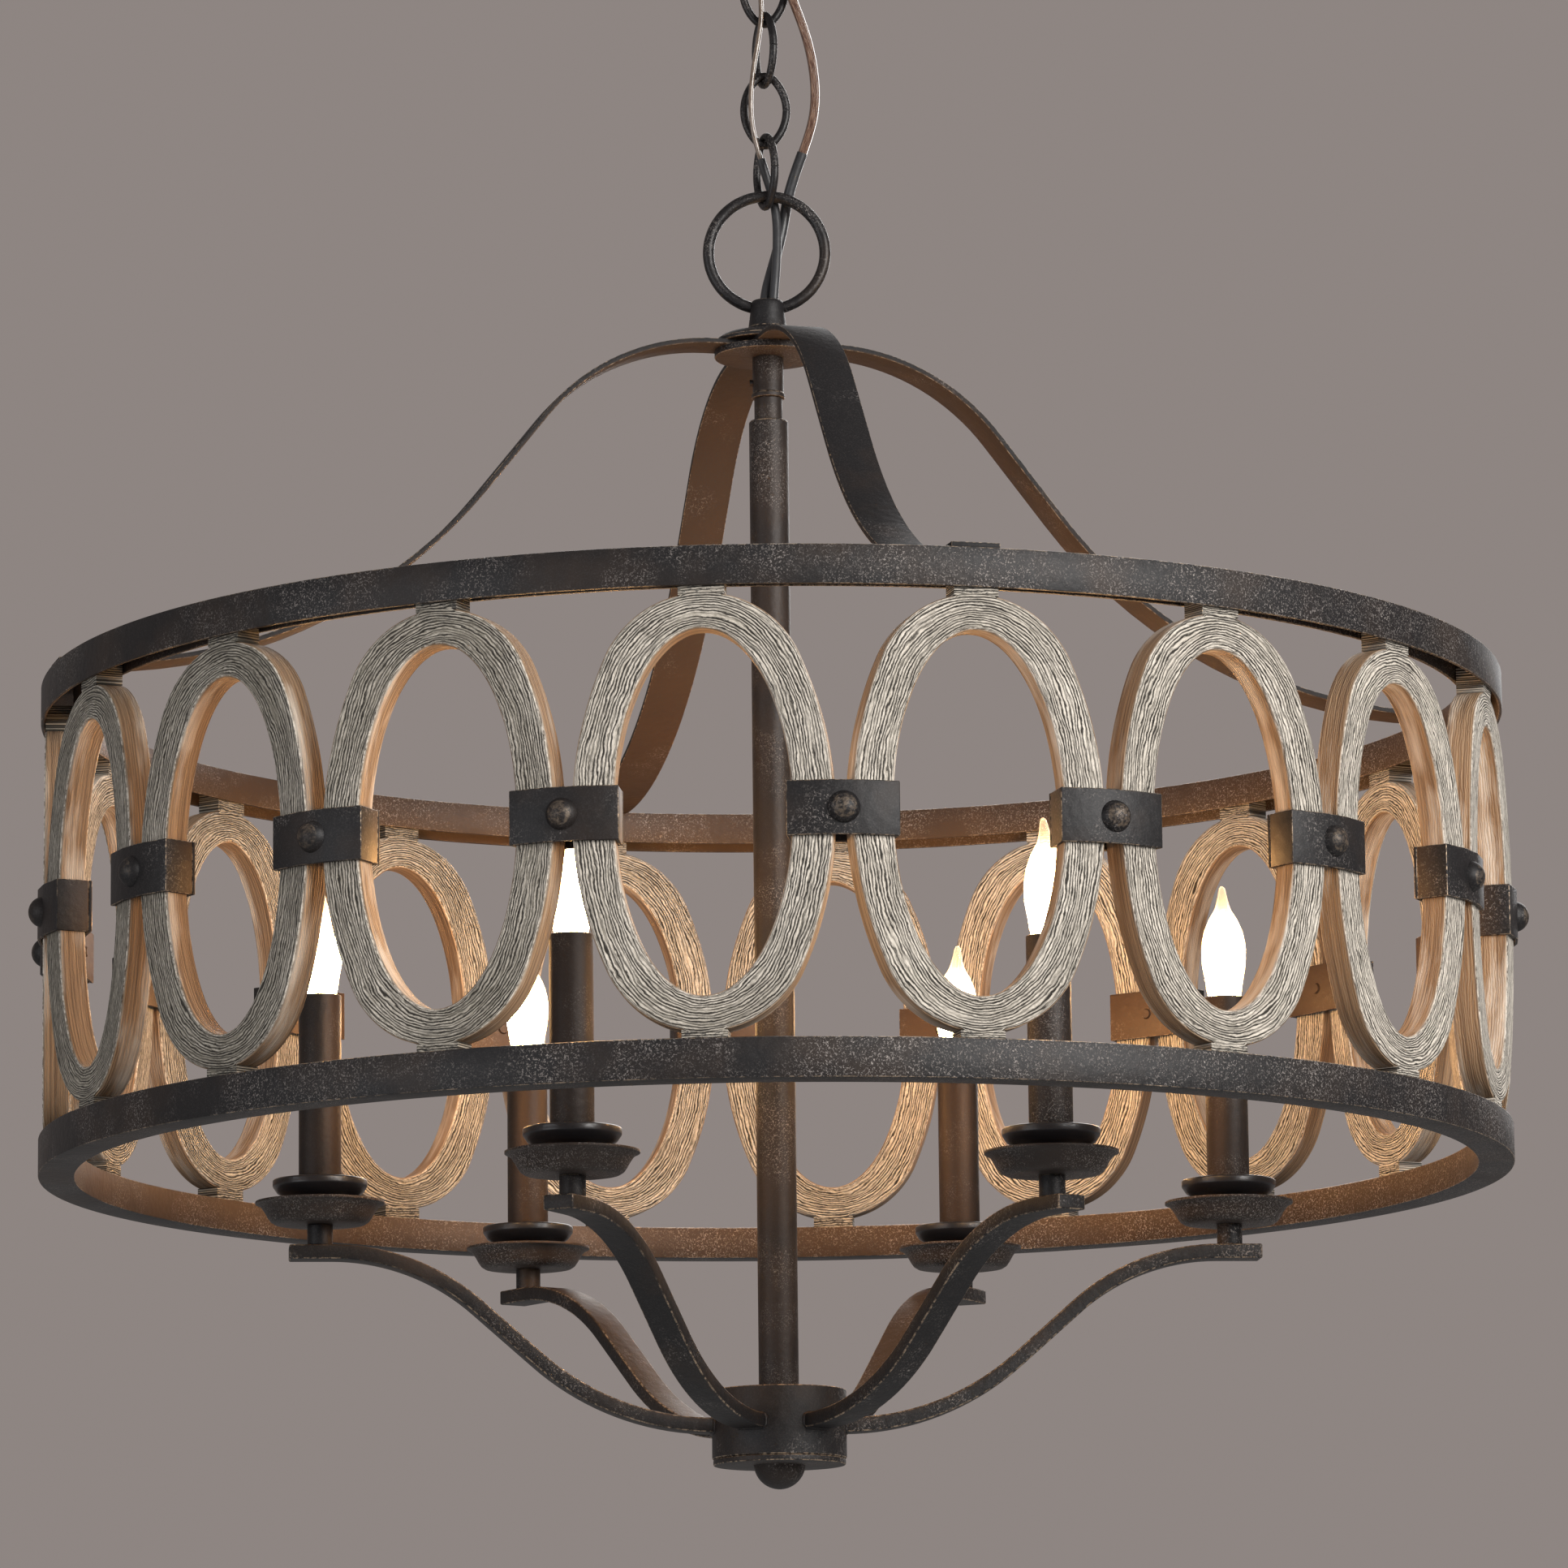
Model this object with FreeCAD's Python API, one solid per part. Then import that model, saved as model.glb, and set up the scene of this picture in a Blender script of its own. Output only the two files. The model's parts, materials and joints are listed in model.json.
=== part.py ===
"""Round drum chandelier with a ring of wooden ovals, six candle lights and a hanging chain.

Millimetres, +Z up. The origin is on the ceiling, in the middle of the crossbar's upper face.
The -Y side is the front, and azimuths are counted from it towards +X.
"""
import FreeCAD, Part
import math
import os

V = FreeCAD.Vector
OUT = "parts"

# Driving dimensions of the drum
ring_radius = 406.0
ring_height = 20.6
ring_wall = 2.2
inner_wall_short = 2.4
rings_apart = 251.2
oval_count = 18
ovals_apart = 4.45
oval_bar_side = 21.2
oval_bar_end = 18.5
oval_end_share = 0.815
oval_thickness = 15.0
tab_width = 23.4
tab_shows = 3.2
tab_depth = 10.0
first_rivet_azimuth = 5.0
fit_gap = 0.3

# Driving dimensions of the clamps and rivets between the ovals
clamp_height = 28.0
clamp_sheet = 2.0
clamp_corner = 1.6
rivet_head_radius = 8.3
rivet_head_height = 6.5
rivet_seat_margin = 0.7
rivet_shank_radius = 1.8
rivet_tail_radius = 3.2
rivet_tail_height = 1.2
hole_clearance = 0.1

# Driving dimensions of the ceiling fitting
crossbar_past_screws = 7.55
crossbar_width = 19.0
crossbar_thickness = 2.5
box_screw_spacing = 88.9
box_screw_radius = 2.0
box_screw_shoulder = 0.2
box_screw_reach = 10.0
screw_head_radius = 3.9
screw_head_height = 2.4
canopy_radius = 63.5
canopy_height = 30.0
canopy_sheet = 1.2
canopy_skirt = 3.6
canopy_ledge = 3.0
canopy_bulge_share = 0.72
canopy_bulge_height_share = 0.66
canopy_inside_share = 0.7
barrel_radius = 15.2
barrel_top = 16.0
barrel_length = 28.0
barrel_floor = 4.0
barrel_roof = 12.0
barrel_wall = 3.2
collar_wall = 3.8
collar_height = 7.0
loop_wire = 5.0
loop_mean_radius = 10.0
loop_leg = 10.0
pipe_radius = 5.0
pipe_wall = 1.5
nut_wall = 2.5
nut_height = 5.0

# Driving dimensions of the chain
link_count = 4
link_length = 45.0
link_width = 28.5
link_wire = 4.5
link_apex_radius = 6.5
link_slit = 0.7
link_play = 0.45
link_turns = (0.0, -65.0, 0.0, -65.0)

# Driving dimensions of the loop ring, cap and straps
hanger_ring_diameter = 72.2
hanger_ring_wire = 6.4
boss_radius = 10.0
boss_wall = 3.0
boss_rise = 8.0
boss_bore_depth = 13.0
cap_radius = 30.0
cap_height = 17.8
cap_rim = 2.2
cap_shoulder_radius = 26.0
cap_shoulder_rise = 5.0
cap_crown_rise = 7.6
pipe_into_cap = 3.5
strap_width = 26.0
strap_thickness = 3.0
strap_flat = 34.0
strap_foot_flat = 17.8
strap_bend_shares = (0.3, 0.68)
strap_first_azimuth = 15.0
strap_count = 4
plate_thickness = 4.0
drop_to_ring_top = 486.85

# Driving dimensions of the stem
coupling_radius = 8.7
coupling_height = 23.6
coupling_bead = 0.7
coupling_bead_height = 2.6
set_screw_radius = 2.0
set_screw_height = 1.6
set_screw_share = 0.62
neck_radius = 7.9
neck_height = 13.0
stem_radius = 11.0
stem_wall = 1.5
stem_edge_round = 1.2

# Driving dimensions of the hub
hub_radius = 37.0
hub_height = 37.8
hub_wall = 2.5
hub_roof = 3.0
hub_below_ring_top = 389.2
hub_plate_step = 0.6
hub_plate_thickness = 3.5
finial_radius = 14.2
finial_height = 13.0
pipe_into_finial = 6.0

# Driving dimensions of the arms and lights
light_count = 6
light_circle = 251.7
light_first_azimuth = 35.0
arm_width = 17.5
arm_thickness = 8.0
arm_wall = 1.5
arm_root_below_hub_top = 19.5
arm_rise = 95.5
arm_bend_shares = (0.5287, 0.4375)
arm_flat_before_light = 6.7
arm_tip_past_light = 17.0
window_margin = 0.5
stub_radius = 7.0
stub_height = 11.4
pan_rim_radius = 35.5
pan_base_radius = 27.0
pan_height = 12.8
pan_sheet = 1.5
pan_corner = 5.0
pan_corner_share = 0.62
cup_rim_radius = 26.0
cup_foot_radius = 9.5
cup_neck_radius = 14.0
cup_top_above_pan_floor = 25.0
cup_lip = 4.2
cup_cone = 8.0
cup_dish_depth = 10.5
cup_sheet = 1.5
candle_radius = 11.7
candle_wall = 1.3
candle_above_cup = 102.0
socket_clearance = 1.0
socket_height = 32.0
socket_below_candle_top = 2.0
socket_floor = 6.0
bulb_base_radius = 6.0
bulb_base_height = 17.0
bulb_base_gap = 0.35
bulb_neck_radius = 7.2
bulb_glass_radius = 12.4
bulb_glass_wall = 0.8
bulb_belly_share = 0.36
bulb_shoulder_share = 0.42
bulb_waist_share = 0.62
bulb_waist_height_share = 0.5
bulb_height = 65.0
bulb_tip_radius = 2.0

# Driving dimensions of the two cords and their sleeves
cord_left_diameter = 2.8
cord_right_diameter = 5.2
sleeve_left_diameter = 5.0
sleeve_right_diameter = 6.0
cord_hole_gap = 0.25
cord_bend_share = 0.45

# Routes of the cords from the ceiling fitting down to the cap, chosen by hand
left_cord_route = [(-5.5, -5.0, -38.0), (-5.5, -5.0, -52.0), (-4.6, -5.8, -66.5), (-2.0, -6.2, -82.0),
                   (-1.4, -6.2, -98.0), (-4.4, -6.3, -115.5), (-7.6, -5.9, -134.0), (-8.4, -5.6, -151.5),
                   (-6.6, -4.9, -167.0), (-2.9, -1.6, -178.5)]
left_sleeve_route = [(-2.9, -1.6, -178.5), (0.43, 1.37, -188.85), (4.4, 6.8, -200.5), (6.0, 5.6, -214.0),
                     (5.9, 2.8, -228.5), (5.2, 0.0, -242.5), (4.0, -1.8, -255.5), (3.2, -2.4, -267.5)]
right_cord_route = [(6.5, -5.7, -38.0), (6.6, -5.7, -53.5), (10.2, -6.5, -70.5), (17.0, -6.6, -89.0),
                    (23.6, -5.2, -107.5), (27.6, -3.1, -126.0), (28.6, -0.9, -144.0), (26.2, 1.2, -160.0),
                    (20.8, 3.7, -174.0)]
right_sleeve_route = [(20.8, 3.7, -174.0), (15.4, 6.2, -188.0), (11.6, 9.2, -201.5), (9.4, 10.8, -215.0),
                      (6.2, 9.8, -229.0), (2.3, 6.9, -243.0), (-1.0, 3.9, -256.0), (-2.0, 2.9, -267.5)]

# Sizes and heights worked out from the driving dimensions
ring_top = -drop_to_ring_top
low_ring_top = ring_top - rings_apart
ring_width = oval_thickness + 2 * (ring_wall + fit_gap)
oval_pitch = 360.0 / oval_count
half_pitch = math.radians(oval_pitch / 2)
oval_height = rings_apart - ring_height - 2 * tab_shows
oval_middle = ring_top - (ring_height + rings_apart) / 2
tab_sagitta = ring_radius - math.sqrt(ring_radius ** 2 - (tab_width / 2) ** 2)
oval_front = ring_radius - ring_wall - fit_gap - tab_sagitta
oval_back = oval_front - oval_thickness
oval_width = 2 * oval_back * math.tan(half_pitch) - ovals_apart
clamp_flat_width = 2 * (rivet_head_radius + rivet_seat_margin)
crossbar_length = box_screw_spacing + 2 * crossbar_past_screws
collar_outer_radius = barrel_radius + collar_wall
canopy_shoulder = collar_outer_radius + canopy_ledge
pipe_bore = pipe_radius - pipe_wall
nut_across_flats = 2 * (pipe_radius + nut_wall)
boss_bore = boss_radius - boss_wall
strap_foot_radius = ring_radius - ring_wall - strap_foot_flat
hub_plate_radius = hub_radius - hub_plate_step
arm_bend_end = light_circle - arm_flat_before_light
socket_radius = candle_radius - candle_wall - socket_clearance
barrel_bottom = -(barrel_top + barrel_length)
loop_bottom_centre = barrel_bottom - loop_leg - loop_mean_radius
hub_top = ring_top - hub_below_ring_top
arm_root_height = hub_top - arm_root_below_hub_top
arm_end_height = arm_root_height + arm_rise
pan_floor = arm_end_height + arm_thickness / 2 + stub_height


def place(shape, azimuth):
    """Turn a shape built along +X to its azimuth, which is counted from -Y towards +X."""
    turned = shape.copy()
    turned.rotate(V(0, 0, 0), V(0, 0, 1), azimuth - 90.0)
    return turned


def save(name, *solids):
    """Write the solids of one node as one STEP file."""
    shape = solids[0] if len(solids) == 1 else Part.makeCompound(list(solids))
    shape.exportStep(os.path.join(OUT, name + ".step"))


def tube(radius, bore, bottom, top):
    """Upright tube round the Z axis between two heights."""
    outer = Part.makeCylinder(radius, top - bottom, V(0, 0, bottom))
    return outer.cut(Part.makeCylinder(bore, top - bottom, V(0, 0, bottom)))


def revolve(points):
    """Solid of revolution round Z from (radius, height) points joined by straight lines."""
    outline = Part.makePolygon([V(r, 0, z) for r, z in points + points[:1]])
    return Part.Face(outline).revolve(V(0, 0, 0), V(0, 0, 1), 360)


def prism(points, bottom, height):
    """Upright prism over (x, y) points."""
    outline = Part.makePolygon([V(x, y, bottom) for x, y in points + points[:1]])
    return Part.Face(outline).extrude(V(0, 0, height))


def round_edges(shape, radius, wanted):
    """Round the edges that the test picks."""
    edges = [edge for edge in shape.Edges if wanted(edge)]
    return shape.makeFillet(radius, edges)


def is_circle_over(edge, radius):
    """Whether an edge is a circle of more than this radius."""
    return edge.Curve.TypeId == "Part::GeomCircle" and edge.Curve.Radius > radius


def hexagon(across_flats, bottom, height, bore):
    """Hexagon nut with a plain bore."""
    corner = across_flats / math.sqrt(3)
    points = []
    for step in range(6):
        angle = math.radians(60 * step)
        points.append((corner * math.cos(angle), corner * math.sin(angle)))
    nut = prism(points, bottom, height)
    return nut.cut(Part.makeCylinder(bore, height, V(0, 0, bottom)))


def s_bar(start, end, bend_shares, flat_before, flat_after, thickness, width):
    """Flat bar in the XZ plane that runs level, bends to a slope and bends back to level.

    start and end are the (x, z) points where the two bends begin and end. The two bend radii are shares
    of the largest sum of radii that fits between these points.
    """
    run = end[0] - start[0]
    climb = end[1] - start[1]
    way = 1 if climb > 0 else -1
    largest = (run ** 2 + climb ** 2) / (2 * abs(climb))
    bend_first = bend_shares[0] * largest
    bend_last = bend_shares[1] * largest
    radii = bend_first + bend_last
    up = abs(climb) - radii
    slope = math.asin(radii / math.hypot(run, up)) + math.atan2(up, run)
    print("bends", round(bend_first, 2), round(bend_last, 2))
    first_centre = (start[0], start[1] + way * bend_first)
    last_centre = (end[0], end[1] - way * bend_last)

    def on_first(share, offset):
        radius = bend_first - way * offset
        angle = slope * share
        rise = way * radius * math.cos(angle)
        return V(first_centre[0] + radius * math.sin(angle), 0, first_centre[1] - rise)

    def on_last(share, offset):
        radius = bend_last + way * offset
        angle = slope * share
        rise = way * radius * math.cos(angle)
        return V(last_centre[0] - radius * math.sin(angle), 0, last_centre[1] + rise)

    def side(offset):
        far_start = V(start[0] - flat_before, 0, start[1] + offset)
        far_end = V(end[0] + flat_after, 0, end[1] + offset)
        edges = []
        if flat_before > 0:
            edges.append(Part.LineSegment(far_start, on_first(0, offset)).toShape())
        edges.append(Part.Arc(on_first(0, offset), on_first(0.5, offset), on_first(1, offset)).toShape())
        edges.append(Part.LineSegment(on_first(1, offset), on_last(1, offset)).toShape())
        edges.append(Part.Arc(on_last(1, offset), on_last(0.5, offset), on_last(0, offset)).toShape())
        edges.append(Part.LineSegment(on_last(0, offset), far_end).toShape())
        first_point = far_start if flat_before > 0 else on_first(0, offset)
        return edges, first_point, far_end

    upper, upper_start, upper_end = side(thickness / 2)
    lower, lower_start, lower_end = side(-thickness / 2)
    first_cap = Part.LineSegment(upper_start, lower_start).toShape()
    last_cap = Part.LineSegment(upper_end, lower_end).toShape()
    outline = Part.Wire(Part.__sortEdges__(upper + lower + [first_cap, last_cap]))
    bar = Part.Face(outline).extrude(V(0, width, 0))
    bar.translate(V(0, -width / 2, 0))
    return bar


def cord_tube(name, route, diameter):
    """Round tube along straight runs joined by tangent arcs. Prints its least radius and its volume check."""
    points = [V(*point) for point in route]
    edges = []
    radii = []
    here = points[0]
    for before, corner, after in zip(points, points[1:], points[2:]):
        come = corner - before
        go = after - corner
        shorter = min(come.Length, go.Length)
        turn = come.getAngle(go)
        reach = cord_bend_share * shorter
        radius = reach / math.tan(turn / 2)
        come.normalize()
        go.normalize()
        arc_start = corner - come * reach
        arc_end = corner + go * reach
        inward = go - come
        inward.normalize()
        sagitta = radius * (1 / math.cos(turn / 2) - 1)
        middle = corner + inward * sagitta
        edges.append(Part.LineSegment(here, arc_start).toShape())
        edges.append(Part.Arc(arc_start, middle, arc_end).toShape())
        radii.append(radius)
        here = arc_end
    edges.append(Part.LineSegment(here, points[-1]).toShape())
    length = sum(edge.Length for edge in edges)
    path = Part.Wire(edges)
    along = points[1] - points[0]
    profile = Part.Wire(Part.makeCircle(diameter / 2, points[0], along))
    solid = path.makePipeShell([profile], True, True)
    section = math.pi * diameter ** 2 / 4
    print(name, "radii", [round(radius, 1) for radius in radii])
    print(name, "length", round(length, 1), "volume share", round(solid.Volume / (section * length), 4))
    return solid


def make_ceiling_fitting():
    """Crossbar, its screws, threaded pipe, lock nut, canopy, collar loop and collar ring."""
    low = -crossbar_thickness
    bar = Part.makeBox(crossbar_length, crossbar_width, crossbar_thickness,
                       V(-crossbar_length / 2, -crossbar_width / 2, low))
    bar = bar.cut(Part.makeCylinder(pipe_radius, crossbar_thickness, V(0, 0, low)))
    shoulder_radius = box_screw_radius + box_screw_shoulder
    screws = []
    for side in (-1, 1):
        x = side * box_screw_spacing / 2
        bar = bar.cut(Part.makeCylinder(shoulder_radius + hole_clearance, crossbar_thickness, V(x, 0, low)))
        thread = Part.makeCylinder(box_screw_radius, box_screw_reach, V(x, 0, 0))
        shoulder = Part.makeCylinder(shoulder_radius, crossbar_thickness, V(x, 0, low))
        head = Part.makeCylinder(screw_head_radius, screw_head_height, V(x, 0, low - screw_head_height))
        screws.append(thread.fuse([shoulder, head]))
    save("crossbar", bar)
    save("crossbar_screws", *screws)
    save("ceiling_pipe", tube(pipe_radius, pipe_bore, -(barrel_top + barrel_roof), 0))
    save("lock_nut", hexagon(nut_across_flats, -crossbar_thickness - nut_height, nut_height, pipe_radius))
    make_canopy()
    make_collar_loop()


def make_canopy():
    """Spun canopy dish that hides the ceiling box, and the threaded ring that holds it up."""
    hole = barrel_radius + fit_gap
    low = -canopy_height
    outer = [V(canopy_radius, 0, 0), V(canopy_radius, 0, -canopy_skirt), V(canopy_shoulder, 0, low)]
    bulge = V(canopy_shoulder + (canopy_radius - canopy_shoulder) * canopy_bulge_share, 0,
              low * canopy_bulge_height_share)
    outside = Part.Arc(outer[1], bulge, outer[2]).toShape()
    inside_rim = V(canopy_radius - canopy_sheet, 0, outer[1].z)
    inset = canopy_sheet * canopy_inside_share
    inside_bulge = V(bulge.x - inset, 0, bulge.z + inset)
    inside_low = V(canopy_shoulder, 0, low + canopy_sheet)
    inside = Part.Arc(inside_rim, inside_bulge, inside_low).toShape()
    edges = [Part.LineSegment(outer[0], outer[1]).toShape(), outside,
             Part.LineSegment(outer[2], V(hole, 0, low)).toShape(),
             Part.LineSegment(V(hole, 0, low), V(hole, 0, low + canopy_sheet)).toShape(),
             Part.LineSegment(V(hole, 0, low + canopy_sheet), inside_low).toShape(), inside,
             Part.LineSegment(inside_rim, V(inside_rim.x, 0, 0)).toShape(),
             Part.LineSegment(V(inside_rim.x, 0, 0), outer[0]).toShape()]
    dish = Part.Face(Part.Wire(Part.__sortEdges__(edges))).revolve(V(0, 0, 0), V(0, 0, 1), 360)
    save("canopy", dish)
    ring = tube(collar_outer_radius, barrel_radius + hole_clearance, low - collar_height, low)
    ring = round_edges(ring, canopy_sheet, lambda edge: edge.BoundBox.ZMax < low - collar_height / 2
                       and is_circle_over(edge, collar_outer_radius - fit_gap))
    save("collar_ring", ring)


def make_collar_loop():
    """Threaded barrel with a U shaped loop below it. The cords rise through two holes in its floor."""
    barrel = Part.makeCylinder(barrel_radius, barrel_length, V(0, 0, barrel_bottom))
    room_bottom = barrel_bottom + barrel_floor
    room_height = barrel_length - barrel_floor - barrel_roof
    barrel = barrel.cut(Part.makeCylinder(barrel_radius - barrel_wall, room_height, V(0, 0, room_bottom)))
    barrel = barrel.cut(Part.makeCylinder(pipe_radius, barrel_roof, V(0, 0, room_bottom + room_height)))
    for route, diameter in ((left_cord_route, cord_left_diameter), (right_cord_route, cord_right_diameter)):
        start = V(route[0][0], route[0][1], barrel_bottom)
        hole = Part.makeCylinder(diameter / 2 + cord_hole_gap, barrel_floor, start)
        barrel = barrel.cut(hole)
    bend_height = barrel_bottom - loop_leg
    bend = Part.makeTorus(loop_mean_radius, loop_wire / 2, V(0, 0, bend_height), V(1, 0, 0))
    reach = 2 * loop_mean_radius
    keep = Part.makeBox(2 * reach, 2 * reach, reach, V(-reach, -reach, bend_height - reach))
    body = barrel.fuse(bend.common(keep))
    for side in (-1, 1):
        leg = Part.makeCylinder(loop_wire / 2, loop_leg, V(0, side * loop_mean_radius, bend_height))
        body = body.fuse(leg)
    save("collar_loop", body.removeSplitter())


def make_link(top, turn):
    """Open wire link with four blended arcs, its upper outside edge at one height."""
    half_width = (link_width - link_wire) / 2
    half_length = (link_length - link_wire) / 2
    rise = half_length - link_apex_radius
    bulge = half_width - link_apex_radius
    side_radius = (half_width ** 2 + rise ** 2 - link_apex_radius ** 2) / (2 * bulge)
    shift = side_radius - half_width
    lean = math.atan2(rise, shift)
    centre = top - link_length / 2
    corner_x = side_radius * math.cos(lean) - shift
    corner_z = side_radius * math.sin(lean)
    right_top = V(corner_x, 0, centre + corner_z)
    right_low = V(corner_x, 0, centre - corner_z)
    left_top = V(-corner_x, 0, centre + corner_z)
    left_low = V(-corner_x, 0, centre - corner_z)
    edges = [Part.Arc(right_low, V(half_width, 0, centre), right_top).toShape(),
             Part.Arc(right_top, V(0, 0, centre + half_length), left_top).toShape(),
             Part.Arc(left_top, V(-half_width, 0, centre), left_low).toShape(),
             Part.Arc(left_low, V(0, 0, centre - half_length), right_low).toShape()]
    path = Part.Wire(edges)
    start = V(corner_x, 0, centre - corner_z)
    along = edges[0].tangentAt(edges[0].FirstParameter)
    profile = Part.Wire(Part.makeCircle(link_wire / 2, start, along))
    link = path.makePipeShell([profile], True, True)
    slit = Part.makeBox(2 * link_wire, 2 * link_wire, link_slit,
                        V(half_width - link_wire, -link_wire, centre - link_slit / 2))
    link = link.cut(slit)
    link.rotate(V(0, 0, 0), V(0, 0, 1), turn)
    return link


def make_chain():
    """Links hang in each other with a small running gap. Returns the height that carries the hanger ring."""
    bearing = loop_bottom_centre + loop_wire / 2
    for number in range(link_count):
        top = bearing + link_play + link_wire
        save("chain_link_%d" % (number + 1), make_link(top, link_turns[number]))
        print("link", number + 1, "top", round(top, 2), "pivot",
              round(bearing - (loop_wire if number == 0 else link_wire) / 2, 2))
        bearing = top - link_length + link_wire
    print("hanger pivot", round(bearing - link_wire / 2, 2))
    return bearing


def make_hanger(bearing):
    """Hanger ring, cap, four straps and the plate below them. Returns the height of the plate's underside."""
    ring_wire = hanger_ring_wire / 2
    outer_top = bearing + link_play + hanger_ring_wire
    centre = outer_top - hanger_ring_diameter / 2
    mean_radius = hanger_ring_diameter / 2 - ring_wire
    ring = Part.makeTorus(mean_radius, ring_wire, V(0, 0, centre), V(0, 1, 0))
    cap_top = centre - hanger_ring_diameter / 2
    boss_top = cap_top + boss_rise
    cap_low = cap_top - cap_height
    boss_space = Part.makeCylinder(boss_radius, boss_top - cap_low, V(0, 0, cap_low))
    save("hanger_ring", ring.cut(boss_space))
    crown = [(0, boss_top), (boss_radius, boss_top), (boss_radius, cap_low + cap_crown_rise),
             (cap_shoulder_radius, cap_low + cap_shoulder_rise), (cap_radius, cap_low + cap_rim),
             (cap_radius, cap_low), (0, cap_low)]
    cap = revolve(crown)
    cap = cap.cut(Part.makeCylinder(boss_bore, boss_bore_depth, V(0, 0, boss_top - boss_bore_depth)))
    cap = cap.cut(Part.makeCylinder(pipe_radius, boss_top - cap_low, V(0, 0, cap_low)))
    save("top_cap", cap)
    print("cap underside", round(cap_low, 2), "boss top", round(boss_top, 2), "ring centre", round(centre, 2))
    strap_middle = cap_low - strap_thickness / 2
    strap_foot = ring_top + strap_thickness / 2
    strap = s_bar((strap_flat, strap_middle), (strap_foot_radius, strap_foot), strap_bend_shares,
                  strap_flat - strap_width / 2 - fit_gap, strap_foot_flat, strap_thickness, strap_width)
    for number in range(strap_count):
        azimuth = strap_first_azimuth + number * 360.0 / strap_count
        save("strap_%d" % (number + 1), place(strap, azimuth))
    plate_top = cap_low - strap_thickness
    plate_low = plate_top - plate_thickness
    save("strap_plate", tube(cap_radius, pipe_radius + hole_clearance, plate_low, plate_top))
    return plate_low


def make_stem(top):
    """Coupling with its set screw, neck, stem tube and the threaded pipe that runs through them."""
    bore = pipe_radius + hole_clearance
    coupling_low = top - coupling_height
    coupling = tube(coupling_radius, bore, coupling_low, top)
    bead = tube(coupling_radius + coupling_bead, bore, coupling_low, coupling_low + coupling_bead_height)
    coupling = coupling.fuse(bead).removeSplitter()
    screw_height = top - coupling_height * set_screw_share
    reach = coupling_radius - bore + set_screw_height
    start = V(-(bore + hole_clearance), 0, screw_height)
    screw = Part.makeCylinder(set_screw_radius, reach, start, V(-1, 0, 0))
    hole = Part.makeCylinder(set_screw_radius, reach, V(-bore, 0, screw_height), V(-1, 0, 0))
    coupling = coupling.cut(hole)
    save("coupling", coupling)
    save("set_screw", screw)
    neck_low = coupling_low - neck_height
    save("neck", tube(neck_radius, bore, neck_low, coupling_low))
    stem = tube(stem_radius, stem_radius - stem_wall, hub_top, neck_low)
    roof = tube(stem_radius - stem_wall, bore, neck_low - 2 * stem_wall, neck_low)
    stem = stem.fuse(roof).removeSplitter()
    stem = round_edges(stem, stem_edge_round, lambda edge: edge.BoundBox.ZMin > neck_low - fit_gap
                       and is_circle_over(edge, stem_radius - fit_gap))
    save("stem_tube", stem)
    pipe_top = top + plate_thickness + strap_thickness + pipe_into_cap
    pipe_low = hub_top - hub_height - hub_plate_thickness - pipe_into_finial
    save("inner_pipe", tube(pipe_radius, pipe_bore, pipe_low, pipe_top))


def make_hub():
    """Hollow hub with six wire windows, its bottom plate and the round finial under it."""
    low = hub_top - hub_height
    hub = tube(hub_radius, hub_radius - hub_wall, low, hub_top)
    roof = tube(hub_radius - hub_wall, pipe_radius + hole_clearance, hub_top - hub_roof, hub_top)
    hub = hub.fuse(roof).removeSplitter()
    window_width = arm_width - 2 * (arm_wall + window_margin)
    window_height = arm_thickness - 2 * (arm_wall + window_margin)
    window_low = arm_root_height - window_height / 2
    window = Part.makeBox(2 * hub_wall, window_width, window_height,
                          V(hub_radius - 2 * hub_wall, -window_width / 2, window_low))
    for number in range(light_count):
        hub = hub.cut(place(window, light_first_azimuth + number * 360.0 / light_count))
    save("hub", hub)
    plate_low = low - hub_plate_thickness
    save("hub_plate", tube(hub_plate_radius, pipe_radius + hole_clearance, plate_low, low))
    ball_radius = (finial_radius ** 2 + finial_height ** 2) / (2 * finial_height)
    ball = Part.makeSphere(ball_radius, V(0, 0, plate_low - finial_height + ball_radius))
    lower_half = Part.makeCylinder(2 * ball_radius, finial_height, V(0, 0, plate_low - finial_height))
    finial = ball.common(lower_half)
    thread = Part.makeCylinder(pipe_radius, pipe_into_finial, V(0, 0, plate_low - pipe_into_finial))
    save("finial", finial.cut(thread))


def make_arms():
    """Six hollow S bars from the hub out to the lights."""
    start = (hub_radius, arm_root_height)
    end = (arm_bend_end, arm_end_height)
    tip = light_circle + arm_tip_past_light
    outside = s_bar(start, end, arm_bend_shares, hub_wall, tip - arm_bend_end, arm_thickness, arm_width)
    inside = s_bar(start, end, arm_bend_shares, 2 * hub_wall, tip - arm_bend_end - arm_wall,
                   arm_thickness - 2 * arm_wall, arm_width - 2 * arm_wall)
    arm = outside.cut(inside)
    arm = arm.cut(Part.makeCylinder(hub_radius, 4 * arm_width, V(0, 0, arm_root_height - 2 * arm_width)))
    tip_middle = V(light_circle, 0, arm_end_height)
    arm = arm.cut(Part.makeCylinder(pipe_radius + hole_clearance, arm_thickness, tip_middle))
    for number in range(light_count):
        save("arm_%d" % (number + 1), place(arm, light_first_azimuth + number * 360.0 / light_count))


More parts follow.
